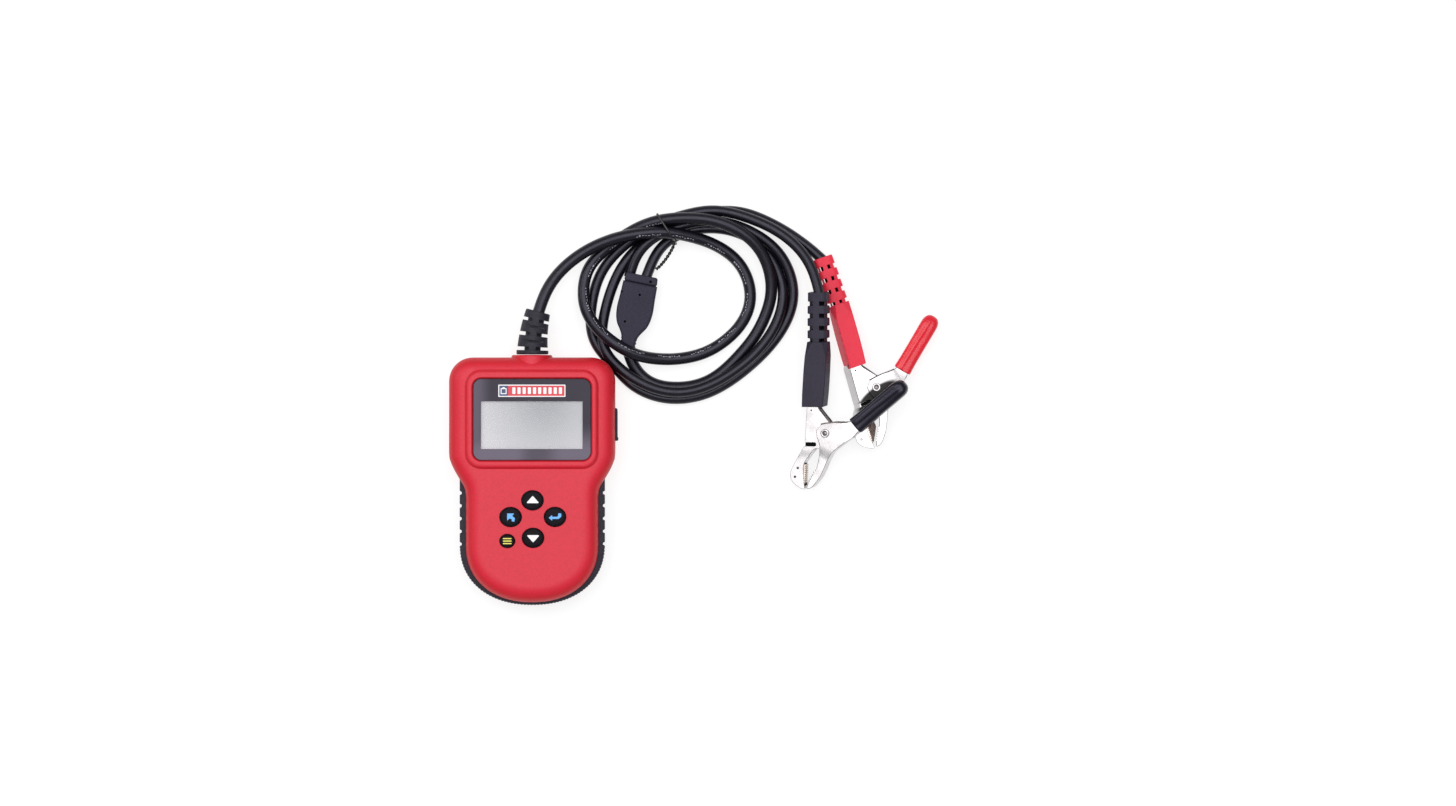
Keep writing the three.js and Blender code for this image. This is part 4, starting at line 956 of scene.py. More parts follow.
# ------------------------------------------------------------------ cords
ROUTE = {
    "main": [(335,8585,1240),(429,8870,1213),(531,9152,1185),(646,9428,1157),(777,9696,1130),(927,9954,1106),(1096,10201,1085),(1281,10435,1069),(1482,10656,1059),(1696,10866,1054),(1921,11063,1055),(2156,11247,1063),(2398,11419,1076),(2648,11578,1096),(2902,11723,1122),(3161,11855,1153),(3424,11975,1190),(3691,12083,1231),(3963,12180,1274),(4240,12267,1318),(4524,12342,1357),(4812,12407,1390),(5104,12461,1412),(5400,12506,1421),(5698,12541,1416),(5996,12568,1397),(6294,12583,1365),(6590,12584,1320),(6880,12570,1265),(7165,12540,1200),(7443,12497,1128),(7716,12444,1052),(7986,12384,974),(8254,12316,896),(8520,12240,823),(8785,12152,753),(9046,12050,688),(9304,11933,629),(9556,11799,574),(9801,11647,525),(10036,11475,482),(10257,11281,443),(10457,11064,410),(10633,10825,382),(10780,10567,359),(10900,10295,341),(10990,10011,328),(11049,9719,318),(11075,9423,312),(11063,9126,308),(11014,8834,306),(10928,8549,306),(10808,8277,305),(10660,8018,305),(10488,7775,306),(10294,7548,307),(10082,7337,310),(9856,7141,314),(9619,6959,322),(9370,6792,333),(9112,6643,349),(8843,6513,369),(8566,6405,394),(8282,6317,425),(7995,6249,461),(7706,6198,502),(7418,6162,548),(7131,6141,600),(6847,6135,657),(6566,6142,720),(6287,6161,788),(6009,6194,860),(5733,6244,937),(5458,6312,1015),(5185,6402,1089),(4916,6515,1154),(4652,6649,1202),(4397,6801,1226),(4153,6966,1224),(3921,7140,1199),(3704,7321,1155),(3501,7508,1100),(3314,7703,1041),(3143,7907,981),(2989,8126,924),(2855,8362,871),(2744,8617,823),(2661,8890,779),(2609,9178,741),(2590,9473,709),(2599,9771,682),(2637,10067,661),(2705,10356,645),(2808,10634,636),(2946,10894,632),(3117,11133,634),(3313,11352,642),(3525,11554,656),(3748,11744,676),(3977,11924,702),(4210,12097,735),(4447,12264,775),(4690,12425,822),(4938,12577,875),(5193,12720,932),(5456,12850,993),(5728,12965,1055),(6007,13062,1115),(6294,13141,1169),(6587,13201,1215),(6883,13245,1251),(7182,13275,1276),(7482,13294,1289),(7783,13302,1292),(8084,13300,1289),(8384,13286,1282),(8682,13258,1272),(8977,13214,1262),(9268,13152,1253),(9554,13072,1243),(9833,12974,1231),(10104,12859,1214),(10365,12729,1191),(10614,12584,1160),(10850,12420,1119),(11072,12238,1070),(11277,12036,1015),(11464,11815,954),(11630,11575,892),(11775,11318,831),(11896,11048,771),(11993,10768,713),(12068,10479,658),(12118,10185,606),(12143,9888,557),(12140,9591,512),(12108,9295,471),(12050,9002,435),(11968,8715,403),(11869,8433,377),(11755,8156,355),(11628,7884,338),(11488,7620,326),(11334,7364,317),(11165,7116,311),(10984,6878,308),(10793,6647,306),(10595,6422,306),(10392,6203,305),(10185,5988,305),(9970,5780,305),(9748,5581,305),(9515,5396,305),(9270,5227,305),(9012,5079,305),(8741,4954,305),(8461,4855,305),(8173,4781,305),(7880,4731,305),(7584,4703,305),(7287,4696,306),(6989,4708,306),(6694,4744,309),(6404,4808,313),(6125,4907,321),(5864,5044,334),(5627,5218,353),(5419,5424,378),(5243,5659,409),(5099,5915,444),(4985,6187,482),(4894,6469,520),(4816,6756,560)],
    "black": [(4994,10602,560),(5081,10877,601),(5184,11147,642),(5313,11407,681),(5472,11650,716),(5660,11875,744),(5871,12078,761),(6102,12259,767),(6350,12418,764),(6610,12557,753),(6881,12678,737),(7160,12786,719),(7444,12883,702),(7732,12969,687),(8023,13044,677),(8316,13103,671),(8612,13143,669),(8908,13160,670),(9203,13156,673),(9498,13130,676),(9792,13084,678),(10082,13018,679),(10370,12933,678),(10653,12832,673),(10931,12714,666),(11203,12579,654),(11468,12430,637),(11723,12266,616),(11966,12087,589),(12195,11891,557),(12406,11678,521),(12596,11446,484),(12764,11198,446),(12908,10936,411),(13029,10662,379),(13128,10379,351),(13202,10088,327),(13250,9793,308),(13266,9494,294),(13250,9195,284),(13202,8899,278),(13125,8609,274),(13024,8326,272),(12902,8051,271),(12763,7785,270),(12608,7528,270),(12440,7279,270),(12260,7039,270),(12070,6807,270),(11870,6582,270),(11662,6366,270),(11447,6156,270),(11226,5952,270),(11000,5754,270),(10768,5562,270),(10532,5376,270),(10289,5197,270),(10042,5026,270),(9788,4865,270),(9527,4714,270),(9260,4577,270),(8985,4455,270),(8702,4351,270),(8412,4266,270),(8117,4201,270),(7818,4155,270),(7516,4130,270),(7214,4125,270),(6914,4142,270),(6616,4182,270),(6324,4246,270),(6038,4332,270),(5761,4440,270),(5496,4569,270),(5244,4717,270),(5009,4886,270),(4789,5074,270),(4582,5281,270),(4382,5502,270),(4182,5731,270),(3978,5962,270),(3774,6190,270),(3576,6418,270),(3396,6649,270),(3242,6891,270),(3120,7148,270),(3033,7419,270),(2978,7701,270),(2952,7991,270),(2949,8284,270),(2966,8579,270),(2999,8873,270),(3045,9167,270),(3105,9459,270),(3179,9748,270),(3271,10033,271),(3383,10311,272),(3515,10579,274),(3668,10836,278),(3842,11081,285),(4032,11312,296),(4238,11532,311),(4455,11741,332),(4682,11940,358),(4918,12130,390),(5161,12310,428),(5412,12481,471),(5670,12641,517),(5935,12790,564),(6205,12926,611),(6481,13050,654),(6762,13162,693),(7045,13264,726),(7332,13356,753),(7620,13439,775),(7911,13515,791),(8203,13581,802),(8498,13635,808),(8796,13673,811),(9097,13690,810),(9398,13683,807),(9697,13652,802),(9994,13600,797),(10286,13532,793),(10575,13451,790),(10860,13360,789),(11143,13259,792),(11422,13150,799),(11698,13032,811),(11969,12903,828),(12234,12763,850),(12491,12612,878),(12739,12447,910),(12975,12271,948),(13199,12082,992),(13409,11881,1040),(13604,11667,1094),(13782,11440,1154),(13943,11200,1217),(14085,10947,1285),(14209,10682,1356),(14315,10408,1428),(14406,10126,1500),(14483,9840,1570),(14554,9550,1640)],
    "red": [(5827,10444,560),(5934,10721,517),(6047,10995,475),(6173,11263,436),(6320,11520,400),(6493,11759,369),(6694,11977,342),(6921,12168,320),(7168,12332,303),(7431,12470,290),(7706,12583,282),(7991,12672,276),(8282,12739,273),(8578,12784,271),(8876,12807,270),(9176,12810,270),(9475,12792,270),(9772,12752,270),(10064,12689,270),(10350,12605,270),(10627,12500,270),(10895,12374,270),(11151,12227,270),(11393,12058,270),(11618,11868,270),(11825,11656,272),(12011,11424,274),(12178,11178,278),(12327,10919,285),(12457,10650,296),(12567,10372,311),(12652,10087,332),(12709,9794,358),(12734,9498,388),(12727,9201,422),(12691,8906,460),(12627,8615,499),(12540,8330,538),(12431,8053,575),(12304,7783,609),(12159,7522,639),(11999,7270,665),(11825,7028,685),(11640,6794,700),(11445,6570,713),(11240,6355,722),(11025,6151,730),(10801,5957,738),(10569,5772,747),(10329,5596,757),(10084,5427,769),(9832,5265,781),(9575,5112,794),(9310,4969,806),(9039,4840,815),(8761,4726,822),(8477,4629,826),(8187,4552,828),(7892,4496,830),(7594,4464,830),(7295,4456,830),(6995,4475,830),(6699,4518,830),(6407,4586,829),(6122,4677,826),(5844,4788,822),(5573,4916,817),(5310,5058,811),(5056,5215,806),(4810,5384,801),(4574,5567,795),(4349,5763,787),(4138,5973,773),(3946,6198,753),(3782,6441,724),(3657,6702,685),(3576,6978,640),(3538,7264,591),(3535,7556,541),(3559,7850,493),(3600,8145,449),(3654,8440,411),(3719,8733,377),(3793,9025,349),(3877,9314,326),(3971,9600,308),(4076,9883,294),(4192,10162,284),(4320,10435,278),(4463,10701,274),(4621,10958,272),(4795,11203,271),(4984,11434,270),(5188,11652,270),(5403,11857,270),(5628,12053,270),(5862,12240,270),(6101,12420,270),(6348,12593,270),(6601,12758,270),(6860,12911,270),(7126,13052,270),(7399,13179,270),(7678,13291,270),(7961,13388,270),(8249,13471,270),(8541,13541,270),(8836,13597,270),(9133,13640,270),(9432,13670,270),(9732,13685,270),(10033,13684,270),(10332,13661,270),(10628,13616,270),(10920,13547,271),(11206,13457,272),(11487,13351,274),(11764,13233,278),(12036,13106,285),(12305,12970,296),(12569,12827,310),(12828,12675,329),(13081,12516,352),(13329,12350,381),(13571,12178,413),(13810,12001,449),(14043,11818,487),(14272,11628,526),(14496,11430,566),(14717,11227,605)]}
MAIN_D, LEAD_D = 6.1, 5.4
PRINT_SPAN = (70.0, 330.0, 0.45)


def along(points):
    p = np.asarray(points, float)
    return float(np.linalg.norm(np.diff(p, axis=0), axis=1).sum())


def cord_curve(name, pts, d):
    c = bpy.data.curves.new(name, "CURVE")
    c.dimensions = "3D"
    c.bevel_depth = d / 2 * MM
    c.bevel_resolution = 6
    c.use_fill_caps = True
    s = c.splines.new("POLY")
    s.points.add(len(pts) - 1)
    for k, p in enumerate(pts):
        s.points[k].co = (p[0] * MM, p[1] * MM, p[2] * MM, 1)
    s.use_smooth = True
    o = bpy.data.objects.new(name, c)
    scene.collection.objects.link(o)
    c.materials.append(CABLE)
    return o


def route(name, before=0.0, after=0.0):
    p = np.array(ROUTE[name], float) / 100.0
    d0 = (p[0] - p[1]) / np.linalg.norm(p[0] - p[1])
    d1 = (p[-1] - p[-2]) / np.linalg.norm(p[-1] - p[-2])
    if before:
        p = np.vstack([p[0] + d0 * before, p])
    if after:
        p = np.vstack([p, p[-1] + d1 * after])
    return catmull(p, 1.0)


main_line = route("main", before=3.0, after=3.0)
black_line = route("black", before=3.0, after=2.5)
red_line = route("red", before=3.0, after=2.5)

# ------------------------------------------------------------------ splitter
SA, SB, SPLIT_T = np.array([48.06, 67.06]), np.array([55.68, 104.14]), 11.0
s_len = float(np.linalg.norm(SB - SA))
s_dir = (SB - SA) / s_len
s_side = np.array([-s_dir[1], s_dir[0]])
PROFILE = [(0, 3.7), (2.6, 3.7), (5.2, 3.95), (8, 5.2), (11.5, 7.5), (14.5, 8.6), (17.5, 9.1), (21, 9.25), (27, 8.95), (33.45, 8.75)]


def split_outline(prof, smooth=True):
    q = catmull([(v, h, 0) for v, h in prof], 0.8)[:, :2] if smooth else np.array(prof, float)
    right = [SA + s_dir * v - s_side * h for v, h in q]
    left = [SA + s_dir * v + s_side * h for v, h in q[::-1]]
    return np.array(right + left)


sb = raw("splitter_shell", slab(fillet([tuple(p) for p in split_outline(PROFILE)], 0.0), 0.15, SPLIT_T, 1.5, 1.5, 5))
holes = []
for px, py, r in ((621.6, 291.3, 0.62), (639.7, 294.9, 0.66), (624.8, 321.4, 0.62)):
    holes.append(lathe([(0, 9.2), (r, 9.2), (r, 14), (0, 14)], 24, ((px - 532.3) * 0.508, (480 - py) * 0.508)))
cut(sb, *holes)
dress(shade(sb, 34), SPLIT, replaces=["splitter_body"])
cap_o = fillet([tuple(p) for p in split_outline([(33.7, 8.5), (s_len, 8.15)], False)], 1.0, 4)
sc = raw("splitter_lid", slab(cap_o, 0.3, SPLIT_T - 0.25, 1.1, 0.9, 4))
cut(sc, lathe([(0, 9.4), (0.75, 9.4), (0.75, 14), (0, 14)], 24, ((650.5 - 532.3) * 0.508, (480 - 281.8) * 0.508)))
dress(shade(sc, 34), SPLIT, replaces=["splitter_cap"])
# painted shade: near-black pieces inside the seam between shell and lid and at the bottoms of the pin holes
bottoms = [slab(split_outline([(30.0, 8.2), (36.5, 8.0)], False), 1.2, SPLIT_T - 1.15)]
for px, py, r, z in ((621.6, 291.3, 0.6, 9.25), (639.7, 294.9, 0.64, 9.25), (624.8, 321.4, 0.6, 9.25), (650.5, 281.8, 0.73, 9.45)):
    bottoms.append(lathe([(0, z - 0.4), (r, z - 0.4), (r, z), (0, z)], 20, ((px - 532.3) * 0.508, (480 - py) * 0.508)))
dress(shade(raw("splitter_seam_and_hole_shade", joined(*bottoms)), 40), HOLE)
# ribbed neck where the main cable enters
ribs = []
for k in range(3):
    c = SA + s_dir * (1.1 + 1.9 * k)
    a = np.linspace(0, 2 * math.pi, 49)[:-1]
    ring = []
    for w, r in ((-0.62, 3.4), (-0.5, 3.95), (-0.2, 4.12), (0.2, 4.12), (0.5, 3.95), (0.62, 3.4)):
        ring.append(np.column_stack([c[0] + s_dir[0] * w + s_side[0] * r * np.cos(a), c[1] + s_dir[1] * w + s_side[1] * r * np.cos(a), 5.6 + r * np.sin(a)]))
    ribs.append(loft(ring))
dress(shade(raw("splitter_neck_ribs", joined(*ribs)), 40), SPLIT)

# ------------------------------------------------------------------ twist tie
LOOP = [[69.45, 125.63, 16.3], [68.17, 127.64, 16.17], [66.9, 129.65, 16.04], [65.62, 131.66, 15.9], [64.4, 133.58, 15.33], [63.57, 134.88, 13.56], [63.47, 135.04, 11.23], [63.8, 134.52, 8.92], [64.14, 133.99, 6.62], [64.64, 133.21, 4.45], [65.39, 132.02, 2.53], [66.14, 130.84, 0.75], [67.2, 129.18, 0.75], [68.47, 127.17, 0.75], [69.74, 125.16, 0.75], [71.02, 123.16, 0.75], [72.22, 121.26, 0.75], [72.93, 120.15, 2.2], [72.84, 120.29, 4.54], [72.47, 120.87, 6.83], [72.11, 121.44, 9.11], [71.6, 122.2, 13.2], [70.7, 123.7, 15.6], [69.45, 125.63, 16.3]]
TAIL = [[72.11, 121.44, 9.11], [71.4, 118.2, 9.6], [68.3, 113.0, 8.6], [65.2, 109.2, 7.2], [62.9, 107.2, 6.6]]
line = catmull(LOOP, 0.6)
tt, ts, tu = frames_along(line)
flat = []
a = np.arange(10) * 2 * math.pi / 10
for k in range(len(line)):
    flat.append(line[k] + 0.72 * np.cos(a)[:, None] * ts[k] * 0.8 + 0.5 * np.sin(a)[:, None] * tu[k])
tl = catmull(TAIL, 0.35)
ft, fs_, fu = frames_along(tl)
strands = []
for ph in (0, math.pi):
    p = []
    for k in range(len(tl)):
        w = ph + k * 0.35 * 2 * math.pi / 3.6
        p.append(tl[k] + 0.46 * (math.cos(w) * fs_[k] + math.sin(w) * fu[k]))
    strands.append(tube(p, 0.42, 8))
tie = raw("twist_tie_wire", joined(loft(flat), *strands))
dress(shade(tie, 50, False), TIE, replaces=["twist_tie"])

# ------------------------------------------------------------------ clamps
HA = math.radians(40)


def hpt(t, u):
    return (14.2 + t * math.cos(HA) - u * math.sin(HA), 2.9 + t * math.sin(HA) + u * math.cos(HA))


CLAMP_W, SHEET_T, GAPC = 10.4, 0.8, 0.3
SLEEVE_END = {"red": 33.2, "black": 35.0}


def channel(name, outline, pocket, w, sheet, rim_r=0.45, holes=()):
    """Folded sheet: two side plates joined by a web wherever the pocket stops short of the outline."""
    o = raw(name, slab(outline, -w / 2, w / 2, rim_r, rim_r, 4))
    cut(o, slab(ccw(pocket), -w / 2 + sheet, w / 2 - sheet, 0, 0), *[slab(h, -20, 20) for h in holes])
    return o


def circ(r, n=40, c=(0, 0)):
    a = np.arange(n) * 2 * math.pi / n
    return np.column_stack([c[0] + r * np.cos(a), c[1] + r * np.sin(a)])


def bend(o, f):
    """Moves the vertices of a piece still in clamp-local millimetres."""
    for v in o.data.vertices:
        p = f(v.co.x / MM, v.co.y / MM, v.co.z / MM)
        v.co = (p[0] * MM, p[1] * MM, p[2] * MM)


def smooth(a, b, x):
    t = max(0.0, min(1.0, (x - a) / (b - a)))
    return t * t * (3 - 2 * t)


def slice_rows(o, normal, offsets):
    bm = bmesh.new()
    bm.from_mesh(o.data)
    for d in offsets:
        bmesh.ops.bisect_plane(bm, geom=bm.verts[:] + bm.edges[:] + bm.faces[:], plane_co=(normal[0] * d * MM, normal[1] * d * MM, 0), plane_no=(normal[0], normal[1], 0), dist=1e-7)
    bm.to_mesh(o.data)
    bm.free()


def clamp(prefix, M, boot_mat, sleeve_mat):
    W, F = CLAMP_W, CLAMP_W - 2 * SHEET_T - 2 * GAPC
    body = f"{prefix}_jaw"
    place = Matrix([list(r) for r in M])
    pieces = []

    def put(o, mat, on, rep, angle=34, weighted=True):
        o.data.transform(Matrix([[M[i][j] * (MM if j == 3 and i < 3 else 1) for j in range(4)] for i in range(4)]))
        shade(o, angle, weighted)
        dress(o, mat, on, [f"{prefix}_{n}" for n in rep])
        if on == "handset":
            pieces.append(o)
        return o

    # moving arm
    jaw = [(8.6, 5.45, 1), (5.0, 5.5, 1.5), (2, 5.2, 2.5), (-2, 4.6, 2.5), (-4.6, 1.5, 2.2), (-4.3, -2.2, 2.5), (-2.9, -5.4, 3), (-3.1, -11, 6), (-4.5, -17.5, 6), (-6.6, -21.2, 6), (-9.0, -25.2, 4), (-10.2, -28.7, 0.9), (-8.4, -28.4, 1.5), (-6.8, -27.5, 3), (-4.8, -25.2, 5), (-2.8, -22.4, 6), (-0.8, -18.4, 8), (0.7, -14.9, 8), (3.3, -10, 8), (11.0, -4.2, 3)]
    pocket = [(-7.3, -26.4), (-3.5, -21.9), (0.0, -14.4), (2.75, -9.35), (14, -0.9), (14, 30), (-30, 30), (-30, -14), (-9.3, -19.5), (-8.2, -25.2)]
    arm = channel(f"{prefix}_moving_plate", fillet(jaw, 0.5), np.array(pocket), W, SHEET_T, 0.4)
    H = 7.2
    handle = fillet([hpt(1.0, -3.3) + (1.5,), hpt(28.5, -3.3) + (1,), hpt(28.5, 3.3) + (1,), hpt(1.0, 3.3) + (2,), (11.7, 5.7, 2), (8.0, 5.4, 0.5), (10.2, -4.8, 0.5), (16.3, -0.2, 3)], 0.3)
    hpocket = [(10.6, -5.3), (10.9, -3.2), (16.2, 0.8), hpt(1.5, -2.5), hpt(40, -2.5), hpt(40, 9), (6, 12), (6, -8)]
    grip = channel("g", handle, np.array(hpocket), H, SHEET_T, 0.4)
    # the arm necks down to the narrower handle
    rows = []
    for p, q2, z, k in (((8.2, 5.3), (9.9, -5.0), W / 2 - 0.02, 0), ((9.4, 5.35), (11.2, -4.1), W / 2 - 0.02, 0), ((11.4, 5.55), (13.6, -2.6), W / 2 - 0.75, 0), (hpt(0.6, 3.2), hpt(0.6, -3.2), H / 2 + 0.1, 0), (hpt(1.8, 3.2), hpt(1.8, -3.2), H / 2 - 0.05, 0)):
        rows.append(np.array([(p[0], p[1], -z), (q2[0], q2[1], -z), (q2[0], q2[1], z), (p[0], p[1], z)]))
    should = raw("s", loft(rows))
    bevel(should, 0.25, 2, 50)
    cut(should, slab([(4, 12), (4, -3.4), (10.9, -3.3), (13.4, -1.6), (17.3, 2.1), (19, 12)], -H / 2 + SHEET_T, H / 2 - SHEET_T))
    cut(arm, slab(circ(1.8), -20, 20))
    # the jaw is pressed a little narrower than the arm
    nrm = (math.cos(math.radians(62)), math.sin(math.radians(62)))
    slice_rows(arm, nrm, [-12.5, -11.5, -10.5, -9.5, -8.6, -7.8, -7.0, -6.2])
    bend(arm, lambda x, y, z: (x, y, z * (1 - 0.06 * smooth(-6.2, -12.5, x * nrm[0] + y * nrm[1])) if x * nrm[0] + y * nrm[1] < -6.2 else z))
    merge(arm, should, grip)
    put(arm, NICKEL_SHADED if prefix == "red" else NICKEL, body, ["moving_arm"])
    # teeth along the moving jaw's edge, in both plates
    tips = []
    for k in range(6):
        f0, f1 = k / 6, (k + 0.92) / 6
        a_, b_ = np.array((-5.6, -19.4)), np.array((-9.3, -26.0))
        p0, p1 = a_ + (b_ - a_) * f0, a_ + (b_ - a_) * f1
        out_ = np.array((b_[1] - a_[1], -(b_[0] - a_[0]))) / np.linalg.norm(b_ - a_)
        out_ = out_ if out_[0] < 0 else -out_
        tri_ = [p0 - out_ * 0.5, p0 + out_ * 0.05, (p0 + p1) / 2 + out_ * 0.62, p1 + out_ * 0.05, p1 - out_ * 0.5]
        for z0_, z1_ in ((-W / 2 * 0.94 + 0.08, -W / 2 * 0.94 + 0.66), (W / 2 * 0.94 - 0.66, W / 2 * 0.94 - 0.08)):
            tips.append(slab(np.array(tri_), z0_, z1_, 0.05, 0.08, 2))
    put(raw(f"{prefix}_moving_teeth", joined(*tips)), NICKEL, body, [])
    # painted shade: a dark strip along the arm's upper side
    edge = fillet([(-2.1, 4.45), (2.0, 5.05), (8.5, 5.3), (11.6, 5.55), (11.5, 6.0), (8.4, 5.85), (2.0, 5.6), (-2.4, 4.95)], 0.12, 2)
    put(raw(f"{prefix}_moving_edge", slab(edge, W / 2 - 1.6, W / 2 - 0.12, 0.05, 0.2, 2)), SHADE_METAL, body, [])

    # fixed arm
    fixed = [(-9.05, 20.5), (-9.6, 13.1, 3), (-10.8, -4.9, 0.3), (-5.1, -4.9, 0.6), (-5.1, -6.7, 0.6), (-11.3, -6.7, 2), (-15.2, -13.4, 10), (-18.7, -19.8, 4), (-18.6, -23.1, 3), (-17.2, -25.6, 3), (-15.3, -27.1, 3), (-13.2, -28.4, 3), (-11, -28.9, 0.6), (-11.3, -27.4, 0.3), (-11.9, -21, 5), (-11.4, -15.3, 6), (-8.2, -11, 8), (-5.6, -7.9, 2), (-2.0, -8.1, 1.5), (1.5, -7.5, 2.5), (4.0, -2.2, 2.5), (4.1, 2.0, 2.5), (2.0, 5.5, 1.5), (-3.9, 12.8, 4), (-3.4, 20.5)]
    fpocket = [(-8.2, 22), (-8.8, 13.1), (-10.0, -3.9), (-10.0, -7.9), (-10.9, -7.3), (-17.9, -19.9), (-17.8, -22.9), (-15.0, -26.2), (-12.6, -27.2), (-9, -27), (-9, -16), (8, -14), (8, 12), (-1.2, 14), (-1, 22)]
    fx = channel(f"{prefix}_fixed_plate", fillet(fixed, 0.4), np.array(fpocket), F, SHEET_T, 0.28, [circ(1.8)])
    slice_rows(fx, (0, 1), [-14, -13, -12, -11, -10, -9, -8])
    bend(fx, lambda x, y, z: (x, y, z * (1 - 0.055 * smooth(-7.6, -13.5, y)) if y < -7.6 else z))
    if prefix == "red":
        # the channel leans: its outer web shows beside the front plate
        slice_rows(fx, (0, 1), [-6, -5, -3, 0, 3, 6, 9, 12, 14, 15, 16, 17, 18])
        slice_rows(fx, (1, 0), [-8, -6, -4, -2])
        bend(fx, lambda x, y, z: (x - 3.2 * (F / 2 - z) / F * smooth(-20, -10, y) * smooth(19, 14, y) * smooth(-1.0, -8.0, x), y, z))
        # the outer web runs on past the slot
        strap = [np.array([(a_ - 0.02, y_, F / 2 - 0.95), (a_ - 2.95, y_, -F / 2 + 0.1), (a_ - 2.15, y_, -F / 2 + 0.1), (a_ + 0.75, y_, F / 2 - 0.95)]) for a_, y_ in ((-10.72, -4.4), (-10.9, -5.6), (-11.3, -7.1))]
        put(raw("red_web_strap", loft(strap)), NICKEL, "handset", [])
    put(fx, NICKEL_SHADED if prefix == "red" else NICKEL, "handset", ["fixed_arm"])
    slot = slab([(-10.6, -6.62), (-5.7, -6.62), (-5.25, -6.3), (-5.15, -5.8), (-5.25, -5.3), (-5.7, -4.98), (-10.5, -4.98)], -F / 2 + 1.2, F / 2 - 0.5)
    dot = lathe([(0, F / 2 - 0.3), (0.42, F / 2 - 0.3), (0.42, F / 2 + 0.03), (0, F / 2 + 0.03)], 20, (-7.2, 11.6))
    put(raw(f"{prefix}_slot_shade", joined(slot, dot)), HOLE, "handset", [])
    if prefix == "red":
        # painted shade: a dark line along the fold into the outer web
        fold = [(-9.68, 13.2), (-9.75, 12.6), (-10.82, -3.4), (-10.5, -3.4), (-9.36, 12.6), (-9.34, 13.2)]
        put(raw("red_fold_edge", slab(fold, F / 2 - 0.6, F / 2 - 0.03, 0.05, 0.1, 2)), SHADE_METAL, "handset", [])
    # painted shade: a dark strip along the fixed arm's edge towards the pivot
    edge = fillet([(-3.55, 13.2), (-3.75, 12.2), (1.75, 5.35), (3.4, 3.6), (3.9, 4.1), (2.2, 5.95), (-2.9, 12.9), (-2.8, 13.6)], 0.15, 2)
    put(raw(f"{prefix}_fixed_edge", slab(edge, F / 2 - 1.9, F / 2 - 0.05, 0.05, 0.2, 2)), SHADE_METAL, "handset", [])

    # serrated contact plate inside the fixed jaw, and studs that hold it
    P = F / 2 - SHEET_T - GAPC
    teeth = [(-16.4, -19.6, 0.6), (-11.2, -16.0, 0.5)]
    for k in range(9):
        y = -16.7 - 1.05 * k
        teeth += [(-10.35 - 0.05 * k, y, 0.12), (-11.15 - 0.05 * k, y - 0.52, 0.12)]
    teeth += [(-12.0, -26.2, 0.3), (-14.3, -25.4, 0.8), (-16.7, -22.6, 1)]
    put(raw(f"{prefix}_contact_plate", slab(fillet(teeth, 0.1, 2), -P, P, 0.12, 0.12, 2)), COPPER, "handset", ["jaw_contact"])
    # inner face of the jaw's neck
    hug = [(-11.65, -15.45), (-8.5, -11.2), (-5.95, -8.2), (-5.62, -8.36), (-8.2, -11.38), (-11.3, -15.62)]
    put(raw(f"{prefix}_neck_face", slab(hug, -F / 2 + SHEET_T, F / 2 - SHEET_T + 0.1, 0.04, 0.04, 1)), NICKEL, "handset", [])
    if prefix == "red":
        # painted shade: a dark bronze plate low in the jaw, standing in for its shaded interior
        fold_ = fillet([(-11.6, -15.2, 0.3), (-6.9, -15.6, 0.8), (-6.7, -18.6, 1.5), (-8.5, -22.2, 2), (-10.4, -25.5, 0.8), (-12.2, -26.3, 0.4)], 0.3, 4)
        put(raw("red_jaw_interior_shade", slab(fold_, -P, -0.6, 0.1, 0.15, 2)), JAW_SHADE, "handset", [])
    studs = [lathe([(0, P * 0.5), (0.62, P * 0.5), (0.62, F / 2 * 0.945 + 0.05), (0.4, F / 2 * 0.945 + 0.18), (0, F / 2 * 0.945 + 0.22)], 24, c) for c in ((-14.6, -17.9), (-16.1, -22.4))]
    # the black clamp's studs use the painted-shade dark metal
    put(raw(f"{prefix}_contact_studs", joined(*studs)), SHADE_METAL if prefix == "black" else NICKEL, "handset", [])

    # boot: block, faceted shoulder, ribbed neck with windows
    def section(y, cx, hw, ht, c, lean=0.0):
        k = min(c, hw - 0.3, ht - 0.3)
        q = [(hw, -ht + k), (hw, ht - k), (hw - k, ht), (-hw + k + lean, ht), (-hw + lean * 0.75, ht - max(k, lean)), (-hw, -ht + k), (-hw + k, -ht), (hw - k, -ht)]
        return np.array([[cx + x, y, z] for x, z in q])

    lean = 2.6 if prefix == "red" else 0.25
    rows = [(13.3, -6.55, 5.55, 5.85, 0.35), (20, -6.05, 5.8, 5.95, 0.35), (26, -5.6, 5.85, 5.95, 0.35), (32, -5.2, 5.85, 5.85, 0.35), (39.2, -4.65, 5.72, 5.6, 0.4), (46.25, -4.1, 5.5, 5.35, 3.1)]
    blk = raw(f"{prefix}_boot_rubber", loft([section(y, cx, hw, ht, c, lean * (1.0 if y < 39 else (0.9 if y < 45 else 0.2))) for y, cx, hw, ht, c in rows]))
    bevel(blk, 0.28, 3, 14)

    def rsect(y, cx, h, n=44, e=4.0, hz=None):
        t = (np.arange(n) + 0.5) * 2 * math.pi / n
        r = 1 / (np.abs(np.cos(t)) ** e + np.abs(np.sin(t)) ** e) ** (1 / e)
        return np.column_stack([cx + h * r * np.cos(t), np.full(n, y), (hz or h) * r * np.sin(t)])

